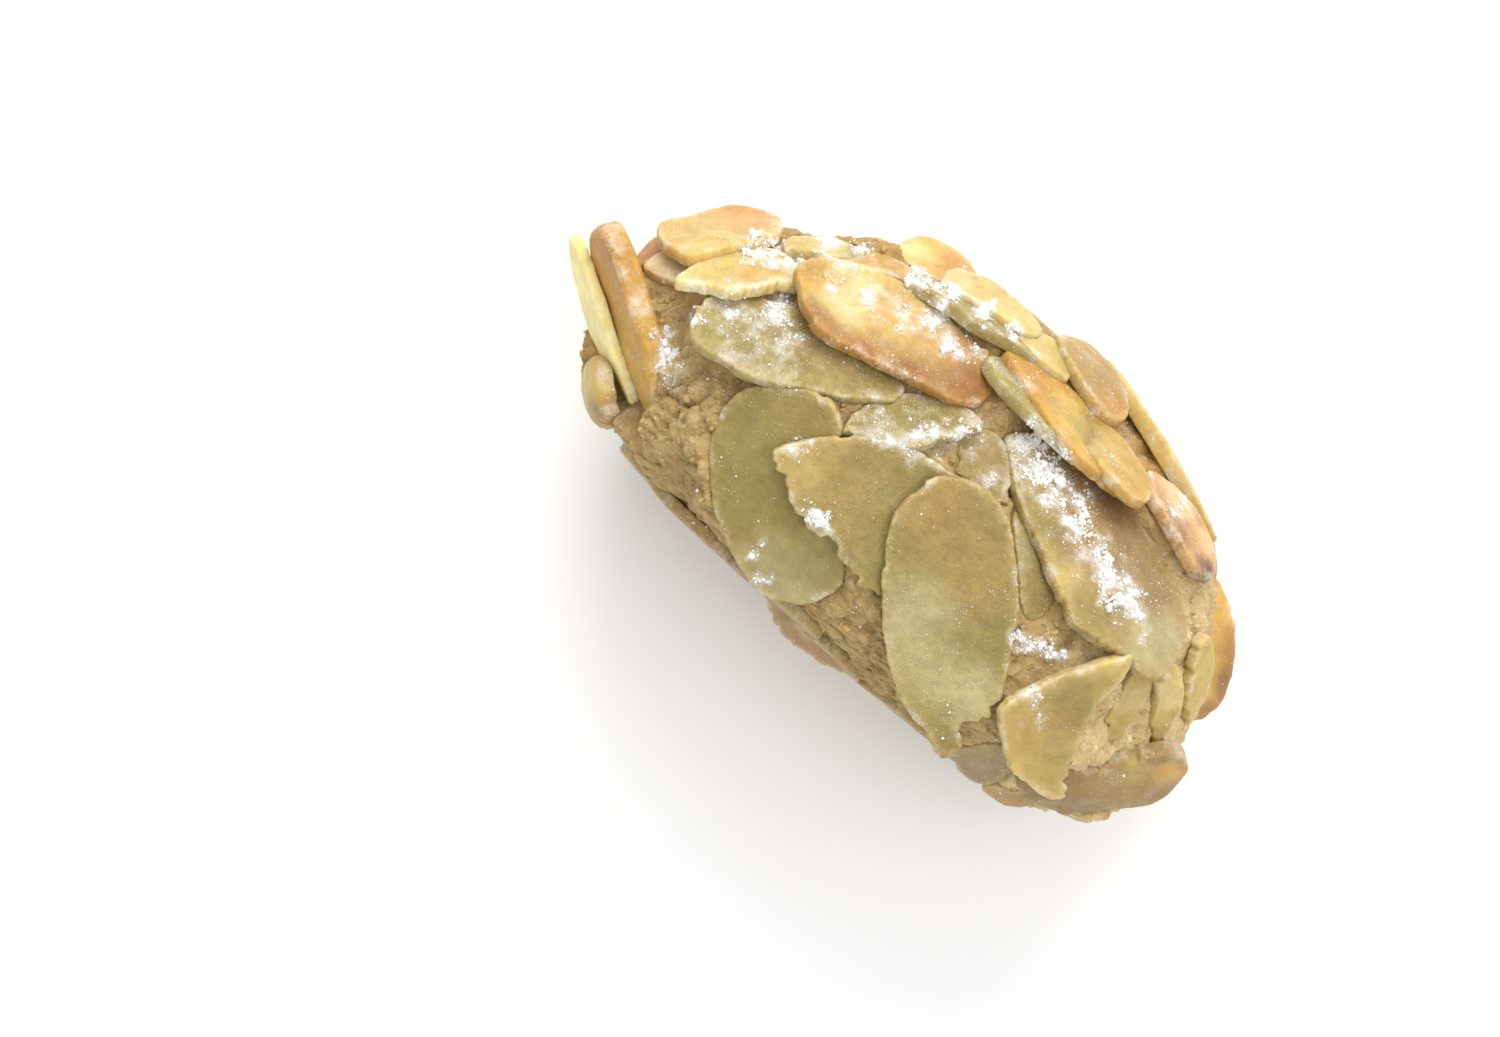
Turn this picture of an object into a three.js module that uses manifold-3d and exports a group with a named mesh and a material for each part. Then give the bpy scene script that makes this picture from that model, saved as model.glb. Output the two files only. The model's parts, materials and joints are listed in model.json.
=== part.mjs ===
// An almond paste cookie: a short log of baked almond paste, flat under and domed on top,
// with flaked almonds pressed in all round. It lies on one flank. Millimetres.
// +X runs along the log, +Y from its baked base to its dome, +Z up out of the table.
// The origin is on the table, under the middle of the cookie.

import * as THREE from "three";
import { mergeVertices } from "three/addons/utils/BufferGeometryUtils.js";
import Module from "manifold-3d";

const wasm = await Module();
wasm.setup();

// The paste log. Its section is widest at the shoulder, between the dome and the base.
const log = {
  middle: [0.9, 1.4], // the log's own middle, from the origin
  axisHeight: 16.6, // the log's own middle above the table
  backLength: 27, // shoulder line, from the middle to the -X tip
  frontLength: 29, // shoulder line, from the middle to the +X tip
  shoulderY: -7, // how far the shoulder is from the middle
  domeRise: 20.8, // shoulder to the top of the dome
  baseDrop: 8.2, // shoulder to the baked base
  halfDepth: 15.6, // middle plane to either flank
  domePower: 2.1, // 2 is round, more is squarer
  basePower: 3,
  lumpHeight: 0.45, // hand-shaped unevenness
  stepsRound: 30,
  stepsAlong: 20,
};

// How squarely each dimension of the section closes at the two tips.
const tipPower = {
  dome: { back: 2.0, front: 2.6 },
  base: { back: 3.2, front: 3.3 },
  depth: { back: 2.3, front: 2.4 },
};

// One almond flake: a thin plate with a softened edge.
const flakeShape = {
  thickness: 1.2,
  taper: 0.15, // how much narrower the pointed end is
  bend: 0.35, // how far the two ends curl back to the paste
  faceShare: 0.9, // flat face, as a share of the outline
  waver: 0.025, // unevenness of the outline
  fewestSides: 6,
  sidesPerLength: 0.38,
};

// The flakes on the shown flank, the dome and the tips.
// at: the flake's middle, from the log's own middle. size: length and width. turn: heading of
// the length. lean: tilt off +Z, towards the heading in toward. cuts: broken edges, each as a
// heading from the length and a distance from the flake's middle.
const shownFlakes = [
  // the -X tip
  { at: [-26.8, -9.8, 4.6], size: [16.5, 8], turn: -31, lean: 76, toward: -134 },
  { at: [-24.3, -8.0, 8.6], size: [17.5, 9.5], turn: -31, lean: 66, toward: -134 },
  { at: [-22.0, -13.3, 6.0], size: [5.5, 5.5], turn: -38, lean: 62, toward: -128 },
  { at: [-23.5, 2.6, 6.2], size: [12, 8.5], turn: 49, lean: 65, toward: 130, taper: 0.1 },
  { at: [-26.4, -1.7, 5.0], size: [5.5, 4], turn: 52, lean: 66, toward: 172 },
  { at: [-24.6, -2.3, 8.0], size: [5.5, 4.5], turn: 42, lean: 50, toward: 152 },
  { at: [-23.6, -5, -9], size: [14, 9], turn: 100, lean: 120, toward: 182 },
  // the back half of the shown flank and dome
  { at: [-20.5, 0.7, 11.2], size: [10.5, 7], turn: 44, lean: 58, toward: 127, taper: -0.4 },
  {
    at: [-13.7, -0.9, 14.3],
    size: [18.2, 7.5],
    turn: 25,
    lean: 30,
    toward: 112,
    cuts: [[155, 8.2]],
  },
  { at: [-8.4, 5.2, 13.4], size: [18, 7.8], turn: 8, lean: 37, toward: 98 },
  { at: [-17.2, 7.6, 6.6], size: [8, 5], turn: 32, lean: 70, toward: 122 },
  { at: [-13.7, 9.4, 6.8], size: [8, 5], turn: 27, lean: 70, toward: 112 },
  { at: [-9.8, 12.6, 2.2], size: [10, 7], turn: 32, lean: 72, toward: 112 },
  { at: [-15.4, -7.7, 13.9], size: [6, 4], turn: -38, lean: 26, toward: -150 },
  // the ridge along the front half
  { at: [-5.0, 12.4, 6.8], size: [10.5, 6], turn: 10, lean: 64, toward: 100 },
  { at: [-5.3, 10.5, 9.9], size: [11.5, 6], turn: 10, lean: 74, toward: 100 },
  { at: [2.9, 8.6, 12.2], size: [10.5, 6], turn: -4, lean: 74, toward: 86 },
  { at: [0.8, 12.0, 8.4], size: [5, 4], turn: 2, lean: 62, toward: 92 },
  { at: [6.5, 9.2, 11.6], size: [17.5, 7.5], turn: -7, lean: 60, toward: 83 },
  { at: [10.1, 9.6, 10.9], size: [10, 6], turn: -3, lean: 60, toward: 87 },
  { at: [3.9, 12.7, 7.2], size: [8, 6], turn: -28, lean: 64, toward: 87 },
  { at: [12.4, 13.2, 1.0], size: [16.5, 9], turn: -16, lean: 90, toward: 74 },
  { at: [17.6, 9.8, 7.2], size: [8.5, 5.5], turn: -20, lean: 66, toward: 72 },
  // the front half of the shown flank
  { at: [13.7, 3.1, 13.6], size: [23, 9.5], turn: -12, lean: 38, toward: 76 },
  { at: [-7.1, -9.7, 14.6], size: [17.5, 11], turn: -38, lean: 22, toward: -100 },
  {
    at: [-2.1, -6.0, 15.8],
    size: [16, 12],
    turn: 11,
    lean: 10,
    toward: -20,
    cuts: [
      [121, 4.5],
      [-115, 3.9],
    ],
  },
  {
    at: [8.1, -7.7, 15.8],
    size: [21.5, 10.7],
    turn: -50,
    lean: 11,
    toward: -58,
    taper: 0.05,
    cuts: [[37, 9.0]],
  },
  { at: [-3.6, 0.7, 15.4], size: [10.5, 6], turn: 42, lean: 36, toward: 122 },
  { at: [2.7, 2.0, 14.6], size: [7, 5], turn: 22, lean: 16, toward: 102 },
  { at: [9.6, 0.5, 14.5], size: [5.5, 3.5], turn: -38, lean: 20, toward: 62 },
  { at: [12.3, -1.6, 14.5], size: [5, 3.5], turn: -28, lean: 18, toward: 52 },
  // the +X tip
  {
    at: [20.4, -7.9, 13.2],
    size: [14, 10],
    turn: -85,
    lean: 34,
    toward: -18,
    cuts: [
      [-121, 3.0],
      [99, 2.6],
    ],
  },
  { at: [25.9, -9.0, 8.8], size: [13, 9], turn: 47, lean: 56, toward: -38 },
  { at: [22.8, -3.3, 11.6], size: [6, 4], turn: 12, lean: 34, toward: 12 },
  { at: [26.0, -2.6, 8.4], size: [5, 3.5], turn: -18, lean: 50, toward: 12 },
  { at: [25.3, 4.3, -6.0], size: [13.5, 9], turn: -43, lean: 42, toward: 42 },
  { at: [25.8, -5, -9], size: [15, 9.5], turn: 70, lean: 118, toward: -5 },
  // the edge of the baked base
  { at: [1.9, -15.4, 2.0], size: [9, 7], turn: 5, lean: 78, toward: -85 },
  { at: [18.0, -13.9, 7.6], size: [7, 5], turn: 32, lean: 64, toward: -72 },
  { at: [21.5, -14.6, 4.0], size: [4.5, 3.5], turn: 42, lean: 66, toward: -68 },
];

// The flake that the cookie lies on. Its outer face is flat and level.
const restFlake = {
  at: [0.8, -3.4],
  size: [21, 10.5],
  turn: 10,
};

// The flank and base turned from view, laid out in rows round the section. round is measured
// from the dome, reach is how near the tips a row goes, and headings is the spread of directions.
// The last row lies flush in the baked base.
const hiddenRows = [
  { round: -30, count: 5, reach: 0.76, headings: 36, tilt: 4, lift: -0.8, extraLift: 0.3 },
  { round: -52, count: 5, reach: 0.84, headings: 110, tilt: 9, lift: 0.1, extraLift: 0.4 },
  { round: -78, count: 5, reach: 0.84, headings: 150, tilt: 9, lift: 0.3, extraLift: 0.4 },
  { round: -108, count: 5, reach: 0.84, headings: 150, tilt: 9, lift: 0.3, extraLift: 0.4 },
  { round: -138, count: 4, reach: 0.62, headings: 40, tilt: 4, lift: -0.4, extraLift: 0.2 },
  { round: -180, count: 4, reach: 0.5, headings: 150, tilt: 0.5, lift: -0.4, extraLift: 0.1 },
];

const hiddenFlake = {
  long: [14, 20],
  wide: [8.5, 11],
  stagger: [0.35, 0.75], // where the first flake of even and odd rows stands in its place
  wander: 10, // most drift round the section, in degrees
  brokenShare: 0.3,
  tableGap: 0.12, // least gap to the table beside the rest flake
  restGap: 9, // flakes nearer than this to the rest flake's middle are left out
};

const radians = THREE.MathUtils.degToRad;

// A repeatable draw between 0 and 1.
function draw(item, use) {
  const wave = Math.sin(12.9898 * item + 78.233 * use) * 43758.5453;
  return wave - Math.floor(wave);
}

function between(range, share) {
  return range[0] + (range[1] - range[0]) * share;
}

function signedPower(value, power) {
  return Math.sign(value) * Math.abs(value) ** power;
}

// The section's half sizes at a share t of the way to a tip.
function sectionAt(t) {
  const tip = t < 0 ? "back" : "front";
  const close = (power) => (1 - Math.min(Math.abs(t), 1) ** power) ** (1 / power);
  return {
    rise: log.domeRise * close(tipPower.dome[tip]),
    drop: log.baseDrop * close(tipPower.base[tip]),
    depth: log.halfDepth * close(tipPower.depth[tip]),
  };
}

// A point on the smooth log: t along it, round in degrees from the dome (+90 is the shown flank).
function logPoint(t, round) {
  const section = sectionAt(t);
  const across = Math.cos(radians(round));
  const onDome = across > 0;
  const power = 2 / (onDome ? log.domePower : log.basePower);
  const reach = onDome ? section.rise : section.drop;
  return new THREE.Vector3(
    t * (t < 0 ? log.backLength : log.frontLength),
    log.shoulderY + reach * signedPower(across, power),
    section.depth * signedPower(Math.sin(radians(round)), power),
  );
}

function logNormal(t, round) {
  const step = 0.01;
  const along = logPoint(t + step, round).sub(logPoint(t - step, round));
  const turn = logPoint(t, round + 1).sub(logPoint(t, round - 1));
  return turn.cross(along).normalize().negate();
}

function lumps(point) {
  const { x, y, z } = point;
  const broad = Math.sin(0.31 * x + 0.42 * y + 1.3) * Math.sin(0.37 * z + 0.23 * x + 2.1);
  const fine = Math.sin(0.83 * x - 0.51 * z + 0.4) * Math.sin(0.74 * y + 0.66 * z + 1.1);
  return log.lumpHeight * (broad + 0.6 * fine);
}

// A closed mesh whose shared corners are merged, as a solid.
function toSolid(geometry) {
  geometry.deleteAttribute("normal");
  geometry.deleteAttribute("uv");
  const merged = mergeVertices(geometry, 1e-4);
  return new wasm.Manifold(
    new wasm.Mesh({
      numProp: 3,
      vertProperties: new Float32Array(merged.attributes.position.array),
      triVerts: new Uint32Array(merged.index.array),
    }),
  );
}

// The log, wrapped round a sphere whose poles become the two tips.
function makeLog() {
  const geometry = new THREE.SphereGeometry(1, log.stepsRound, log.stepsAlong);
  const position = geometry.attributes.position;
  for (let i = 0; i < position.count; i++) {
    const t = position.getY(i);
    const round = THREE.MathUtils.radToDeg(Math.atan2(position.getX(i), position.getZ(i)));
    const point = logPoint(t, round);
    const away = new THREE.Vector3(t * log.halfDepth, point.y - log.shoulderY, point.z).normalize();
    point.addScaledVector(away, lumps(point));
    position.setXYZ(i, point.x, point.y, point.z);
  }
  return toSolid(geometry);
}

// Length, width and outward directions of a flake, as one rotation.
function flakeAxes(outward, turn) {
  const heading = new THREE.Vector3(Math.cos(radians(turn)), Math.sin(radians(turn)), 0);
  const steep = 0.17; // under this much upward face, the heading is laid onto the plane
  const length =
    Math.abs(outward.z) > steep
      ? heading.setZ(-outward.dot(heading) / outward.z)
      : heading.addScaledVector(outward, -outward.dot(heading));
  length.normalize();
  return { length, width: new THREE.Vector3().crossVectors(outward, length), outward };
}

// A point of a flake's outline, seen from its face, before any tilt.
function outlinePoint(flake, angle) {
  const taper = flake.taper ?? flakeShape.taper;
  const ripple = Math.sin(3 * angle + flake.seed) + Math.sin(5 * angle + 2 * flake.seed);
  const waver = 1 + flakeShape.waver * ripple;
  let along = (flake.size[0] / 2) * Math.cos(angle) * waver;
  let across = (flake.size[1] / 2) * Math.sin(angle) * (1 - taper * Math.cos(angle)) * waver;
  for (const [heading, distance] of flake.cuts ?? []) {
    const reach = along * Math.cos(radians(heading)) + across * Math.sin(radians(heading));
    if (reach > distance) {
      along *= distance / reach;
      across *= distance / reach;
    }
  }
  return [along, across];
}

// The plate: a sphere of five rings pressed flat, with its outline shaped and its ends bent.
function makeFlake(flake) {
  const { length, width, outward } = flake.axes;
  const sides = flakeShape.fewestSides + Math.round(flakeShape.sidesPerLength * flake.size[0]);
  const halfThick = flakeShape.thickness / 2;
  const rings = [
    { share: 0, height: halfThick },
    { share: flakeShape.faceShare, height: halfThick },
    { share: 1, height: 0 },
    { share: flakeShape.faceShare, height: -halfThick },
    { share: 0, height: -halfThick },
  ];
  const geometry = new THREE.SphereGeometry(1, sides, rings.length - 1);
  const position = geometry.attributes.position;
  for (let i = 0; i < position.count; i++) {
    const fromPole = Math.acos(THREE.MathUtils.clamp(position.getY(i), -1, 1));
    const ring = rings[Math.round((fromPole / Math.PI) * (rings.length - 1))];
    const angle = Math.atan2(-position.getZ(i), position.getX(i));
    const [along, across] = outlinePoint(flake, angle).map((value) => value * ring.share);
    const bent = -(flake.bend ?? flakeShape.bend) * (2 * along / flake.size[0]) ** 2;
    const point = new THREE.Vector3(...flake.at)
      .addScaledVector(length, along)
      .addScaledVector(width, across)
      .addScaledVector(outward, ring.height + bent);
    position.setXYZ(i, point.x, point.y, point.z);
  }
  return toSolid(geometry);
}

// The flakes set out by hand, and the one that the cookie lies on.
function placedFlakes() {
  const placed = shownFlakes.map((flake, index) => {
    const level = Math.sin(radians(flake.lean));
    const outward = new THREE.Vector3(
      level * Math.cos(radians(flake.toward)),
      level * Math.sin(radians(flake.toward)),
      Math.cos(radians(flake.lean)),
    );
    return { ...flake, axes: flakeAxes(outward, flake.turn), seed: index };
  });
  placed.push({
    ...restFlake,
    at: [...restFlake.at, flakeShape.thickness / 2 - log.axisHeight],
    axes: flakeAxes(new THREE.Vector3(0, 0, -1), restFlake.turn),
    bend: 0,
    seed: 0,
  });
  return placed;
}

// A direction in the plane square to a normal, turned from the log's own direction.
function flatHeading(normal, turn) {
  const along = new THREE.Vector3(1, 0, 0).addScaledVector(normal, -normal.x).normalize();
  return along.applyAxisAngle(normal, radians(turn));
}

// The flakes of the flank and base turned from view.
function hiddenFlakes() {
  const laid = [];
  hiddenRows.forEach((row, rowIndex) => {
    for (let place = 0; place < row.count; place++) {
      const item = 10 * rowIndex + place;
      const share = (place + hiddenFlake.stagger[rowIndex % 2]) / row.count;
      const t = row.reach * (2 * share - 1);
      const round = row.round + hiddenFlake.wander * (draw(item, 1) - 0.5);
      const normal = logNormal(t, round);
      const lift = row.lift + row.extraLift * draw(item, 2);
      const point = logPoint(t, round).addScaledVector(normal, lift);
      const tiltAxis = flatHeading(normal, 360 * draw(item, 3));
      const outward = normal.applyAxisAngle(tiltAxis, radians(row.tilt * draw(item, 4)));
      const length = flatHeading(outward, row.headings * (draw(item, 5) - 0.5));
      const size = [between(hiddenFlake.long, draw(item, 6)), between(hiddenFlake.wide, draw(item, 7))];
      const broken = draw(item, 8) < hiddenFlake.brokenShare;
      laid.push({
        at: point.toArray(),
        size,
        axes: { length, width: new THREE.Vector3().crossVectors(outward, length), outward },
        cuts: broken ? [[360 * draw(item, 9), 0.32 * size[0]]] : [],
        seed: item,
      });
    }
  });
  return laid;
}

// Whether a flake leaves room for the rest flake.
function besideRestFlake(flake) {
  const facesDown = flake.axes.outward.z < -0.8;
  const away = Math.hypot(flake.at[0] - restFlake.at[0], flake.at[1] - restFlake.at[1]);
  return !facesDown || away > hiddenFlake.restGap;
}

// A hidden flake, lifted where it would reach the table.
function makeClearOfTable(flake) {
  const solid = makeFlake(flake);
  const lowest = solid.boundingBox().min[2] + log.axisHeight;
  const raise = Math.max(0, hiddenFlake.tableGap - lowest);
  return solid.translate([0, 0, raise]);
}

// The log with every flake joined to it. Joining can close off a pocket under a flake, so only
// the outer skin of the one body is kept.
function makeCookie() {
  const flakes = [
    ...placedFlakes().map(makeFlake),
    ...hiddenFlakes().filter(besideRestFlake).map(makeClearOfTable),
  ];
  const joined = flakes.reduce((cookie, flake) => cookie.add(flake), makeLog());
  const bodies = joined.decompose().sort((a, b) => b.volume() - a.volume());
  return bodies[0].translate([...log.middle, log.axisHeight]);
}

function toGeometry(solid) {
  const mesh = solid.getMesh();
  const geometry = new THREE.BufferGeometry();
  geometry.setAttribute("position", new THREE.BufferAttribute(mesh.vertProperties, 3));
  geometry.setIndex(new THREE.BufferAttribute(mesh.triVerts, 1));
  geometry.computeVertexNormals();
  return geometry;
}

const bakedPaste = new THREE.MeshStandardMaterial({ color: 0xc8ab72, roughness: 0.7, metalness: 0 });
const almondCookie = new THREE.Mesh(toGeometry(makeCookie()), bakedPaste);
almondCookie.name = "almond_cookie";

const group = new THREE.Group();
group.add(almondCookie);

export default group;
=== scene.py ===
import json
import math
import bmesh
import bpy
import numpy as np
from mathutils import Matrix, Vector
from mathutils.bvhtree import BVHTree
from mathutils.geometry import delaunay_2d_cdt

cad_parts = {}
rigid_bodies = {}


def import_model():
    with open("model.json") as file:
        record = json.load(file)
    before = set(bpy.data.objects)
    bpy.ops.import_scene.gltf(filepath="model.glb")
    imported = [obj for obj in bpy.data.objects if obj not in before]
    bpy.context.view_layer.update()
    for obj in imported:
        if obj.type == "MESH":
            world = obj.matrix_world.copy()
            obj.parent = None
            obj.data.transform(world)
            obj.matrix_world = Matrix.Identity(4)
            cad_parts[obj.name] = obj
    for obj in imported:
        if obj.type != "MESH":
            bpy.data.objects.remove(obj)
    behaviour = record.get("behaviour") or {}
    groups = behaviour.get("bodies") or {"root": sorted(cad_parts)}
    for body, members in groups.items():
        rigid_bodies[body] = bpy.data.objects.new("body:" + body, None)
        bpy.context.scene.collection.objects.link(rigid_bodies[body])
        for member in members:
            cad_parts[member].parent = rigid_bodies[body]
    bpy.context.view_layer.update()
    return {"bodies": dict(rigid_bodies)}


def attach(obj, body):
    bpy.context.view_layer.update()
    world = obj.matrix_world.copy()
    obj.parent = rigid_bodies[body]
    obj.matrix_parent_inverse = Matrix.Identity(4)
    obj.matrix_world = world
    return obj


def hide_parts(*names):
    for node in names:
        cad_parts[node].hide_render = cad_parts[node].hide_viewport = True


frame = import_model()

# An almond paste cookie on its flank. Shapes are worked out in millimetres from the log's own
# middle: +X runs along the log, +Y from its baked base to its dome, +Z up out of the table.
bodyName = list(frame["bodies"])[0]
logMiddle = np.array([0.9, 1.4, 16.6])  # the log's own middle, from the origin on the table


cameraView = {
    "place": (-6.6, -10.8, 346.6),  # straight over the shown flank
    "roll": 42,  # degrees that the log leans across the picture
    "lens": 101.4, "sensor": 36, "nearest": 10,
}

lights = {  # right, up, out: direction seen from the camera. cast: how bright, on a white card
    "keyLight": {"right": 0.22, "up": 0.92, "out": 0.72, "away": 620, "wide": 400, "cast": 0.74},
    "fillLight": {"right": 0.35, "up": -0.1, "out": 1.0, "away": 700, "wide": 520, "cast": 0.4},
}
room = {
    "light": 0.74, "color": (1.0, 0.995, 0.985, 1),
    "lampsAimAt": (0, 0, 0.015),  # in metres, about the cookie's middle
}


def makeCamera():
    camera = bpy.data.objects.new("camera", bpy.data.cameras.new("camera"))
    camera.location = Vector(cameraView["place"]) / 1000
    camera.rotation_euler = (0, 0, math.radians(cameraView["roll"]))
    camera.data.lens = cameraView["lens"]
    camera.data.sensor_width = cameraView["sensor"]
    camera.data.clip_start = cameraView["nearest"] / 1000
    bpy.context.scene.collection.objects.link(camera)
    bpy.context.scene.camera = camera


def makeLights():
    roll = math.radians(cameraView["roll"])
    across = Vector((math.cos(roll), math.sin(roll), 0))
    upward = Vector((-math.sin(roll), math.cos(roll), 0))
    for name, light in lights.items():
        lamp = bpy.data.lights.new(name, "AREA")
        lamp.shape = "SQUARE"
        lamp.size = light["wide"] / 1000
        away = light["away"] / 1000
        lamp.energy = light["cast"] * math.pi ** 2 * away ** 2
        direction = across * light["right"] + upward * light["up"] + Vector((0, 0, light["out"]))
        direction.normalize()
        holder = bpy.data.objects.new(name, lamp)
        holder.location = Vector(room["lampsAimAt"]) + direction * away
        holder.rotation_euler = direction.to_track_quat("Z", "Y").to_euler()
        bpy.context.scene.collection.objects.link(holder)
    world = bpy.data.worlds.new("room")
    world.use_nodes = True
    background = world.node_tree.nodes["Background"]
    background.inputs["Color"].default_value = room["color"]
    background.inputs["Strength"].default_value = room["light"]
    bpy.context.scene.world = world
    bpy.context.scene.view_settings.view_transform = "Standard"


def linear(color):
    share = np.array(color, float) / 255
    return np.where(share <= 0.04045, share / 12.92, ((share + 0.055) / 1.055) ** 2.4)


def unit(vectors):
    return vectors / np.linalg.norm(vectors, axis=-1, keepdims=True)


def smooth(low, high, values):
    share = np.clip((values - low) / (high - low), 0, 1)
    return share * share * (3 - 2 * share)


def cellDraw(cell, seed):  # a repeatable number from 0 to 1 for each whole-numbered cell
    mixed = cell[..., 0] * 374761393 + cell[..., 1] * 668265263 + cell[..., 2] * 1440662683 + seed * 69069
    mixed = (mixed ^ (mixed >> 13)) * 1274126177
    return ((mixed ^ (mixed >> 16)) & 0xFFFFFF) / 0xFFFFFF


def softNoise(points, size, seed=0):  # rolling noise from -1 to 1, size is its grain in mm
    spot = points / size
    cell = np.floor(spot).astype(np.int64)
    part = spot - cell
    part = part * part * (3 - 2 * part)
    total = np.zeros(len(points))
    for corner in np.ndindex(2, 2, 2):
        weight = np.prod(np.where(np.array(corner) == 1, part, 1 - part), axis=1)
        total += weight * cellDraw(cell + np.array(corner), seed)
    return 2 * total - 1


def pebbleNoise(points, size, seed=0):  # 1 at the top of each pebble, about 0 between them
    spot = points / size
    cell = np.floor(spot).astype(np.int64)
    nearest = np.full(len(points), 9.0)
    for step in np.ndindex(3, 3, 3):
        near = cell + np.array(step) - 1
        middle = near + np.stack([cellDraw(near, seed + k) for k in (1, 2, 3)], axis=1)
        nearest = np.minimum(nearest, np.sum((spot - middle) ** 2, axis=1))
    return np.clip(1 - nearest * 1.6, 0, 1)


def layeredNoise(points, layers):  # each layer is a size, a strength and a seed
    return sum(strength * softNoise(points, size, seed) for size, strength, seed in layers)


def noiseWander(points, size, seeds):  # a shift whose parts roll on their own, one for each seed
    return np.stack([softNoise(points, size, seed) for seed in seeds], axis=1)


def meshPiece(name, points, faces, material, attributes):
    mesh = bpy.data.meshes.new(name)
    mesh.from_pydata(((points + logMiddle) / 1000).tolist(), [], faces)
    for title, values in attributes.items():
        if values.ndim == 2:
            layer = mesh.attributes.new(title, "FLOAT_COLOR", "POINT")
            layer.data.foreach_set("color", np.hstack([values, np.ones((len(values), 1))]).ravel())
        else:
            layer = mesh.attributes.new(title, "FLOAT", "POINT")
            layer.data.foreach_set("value", values.astype(np.float32))
    mesh.polygons.foreach_set("use_smooth", [True] * len(mesh.polygons))
    mesh.materials.append(material)
    mesh.update()
    piece = bpy.data.objects.new(name, mesh)
    bpy.context.scene.collection.objects.link(piece)
    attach(piece, bodyName)
    print(name, len(points), "points,", len(faces), "faces")
    return piece


def newGroup(name, inputs, outputs):
    group = bpy.data.node_groups.new(name, "ShaderNodeTree")
    for title, kind, value in inputs:
        socket = group.interface.new_socket(title, in_out="INPUT", socket_type="NodeSocket" + kind)
        socket.default_value = value
    for title, kind in outputs:
        group.interface.new_socket(title, in_out="OUTPUT", socket_type="NodeSocket" + kind)
    return group, group.nodes.new("NodeGroupInput"), group.nodes.new("NodeGroupOutput")


class Wires:  # short ways to add and join nodes in one tree
    def __init__(self, tree):
        self.tree = tree

    def feed(self, socket, value):
        if isinstance(value, bpy.types.NodeSocket):
            self.tree.links.new(value, socket)
        else:
            socket.default_value = value

    def node(self, kind, settings=None, **inputs):
        made = self.tree.nodes.new("ShaderNode" + kind)
        for key, value in (settings or {}).items():
            setattr(made, key, value)
        for key, value in inputs.items():
            self.feed(made.inputs[key.replace("_", " ")], value)
        return made

    def math(self, operation, first, second=0.0, clamp=False):
        made = self.tree.nodes.new("ShaderNodeMath")
        made.operation = operation
        made.use_clamp = clamp
        self.feed(made.inputs[0], first)
        self.feed(made.inputs[1], second)
        return made.outputs[0]

    def blend(self, share, first, second, kind="MIX"):
        made = self.tree.nodes.new("ShaderNodeMix")
        made.data_type = "RGBA"
        made.blend_type = kind
        self.feed(made.inputs[0], share)
        self.feed(made.inputs[6], first)
        self.feed(made.inputs[7], second)
        return made.outputs[2]

    def range(self, value, low, high, toLow=0.0, toHigh=1.0):
        made = self.tree.nodes.new("ShaderNodeMapRange")
        for key, item in zip(range(5), (value, low, high, toLow, toHigh)):
            self.feed(made.inputs[key], item)
        return made.outputs[0]

    def noise(self, place, scale, detail=3.0, roughness=0.5):
        made = self.tree.nodes.new("ShaderNodeTexNoise")
        self.feed(made.inputs["Vector"], place)
        self.feed(made.inputs["Scale"], scale)
        made.inputs["Detail"].default_value = detail
        made.inputs["Roughness"].default_value = roughness
        return made.outputs["Fac"]

    def crumbs(self, place, scale):  # 1 over each rounded crumb, 0 between them
        wander = self.node("TexNoise", Vector=place, Scale=scale * 0.7)
        bent = self.node("VectorMath", {"operation": "MULTIPLY_ADD"})
        self.feed(bent.inputs[0], wander.outputs["Color"])
        bent.inputs[1].default_value = (0.7 / scale,) * 3
        self.feed(bent.inputs[2], place)
        cells = self.node("TexVoronoi", Vector=bent.outputs[0], Scale=scale)
        return self.range(cells.outputs["Distance"], 0.75, 0.2)

    def attribute(self, name, output="Fac"):
        made = self.tree.nodes.new("ShaderNodeAttribute")
        made.attribute_name = name
        return made.outputs[output]

    def place(self):
        return self.tree.nodes.new("ShaderNodeTexCoord").outputs["Object"]


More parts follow.
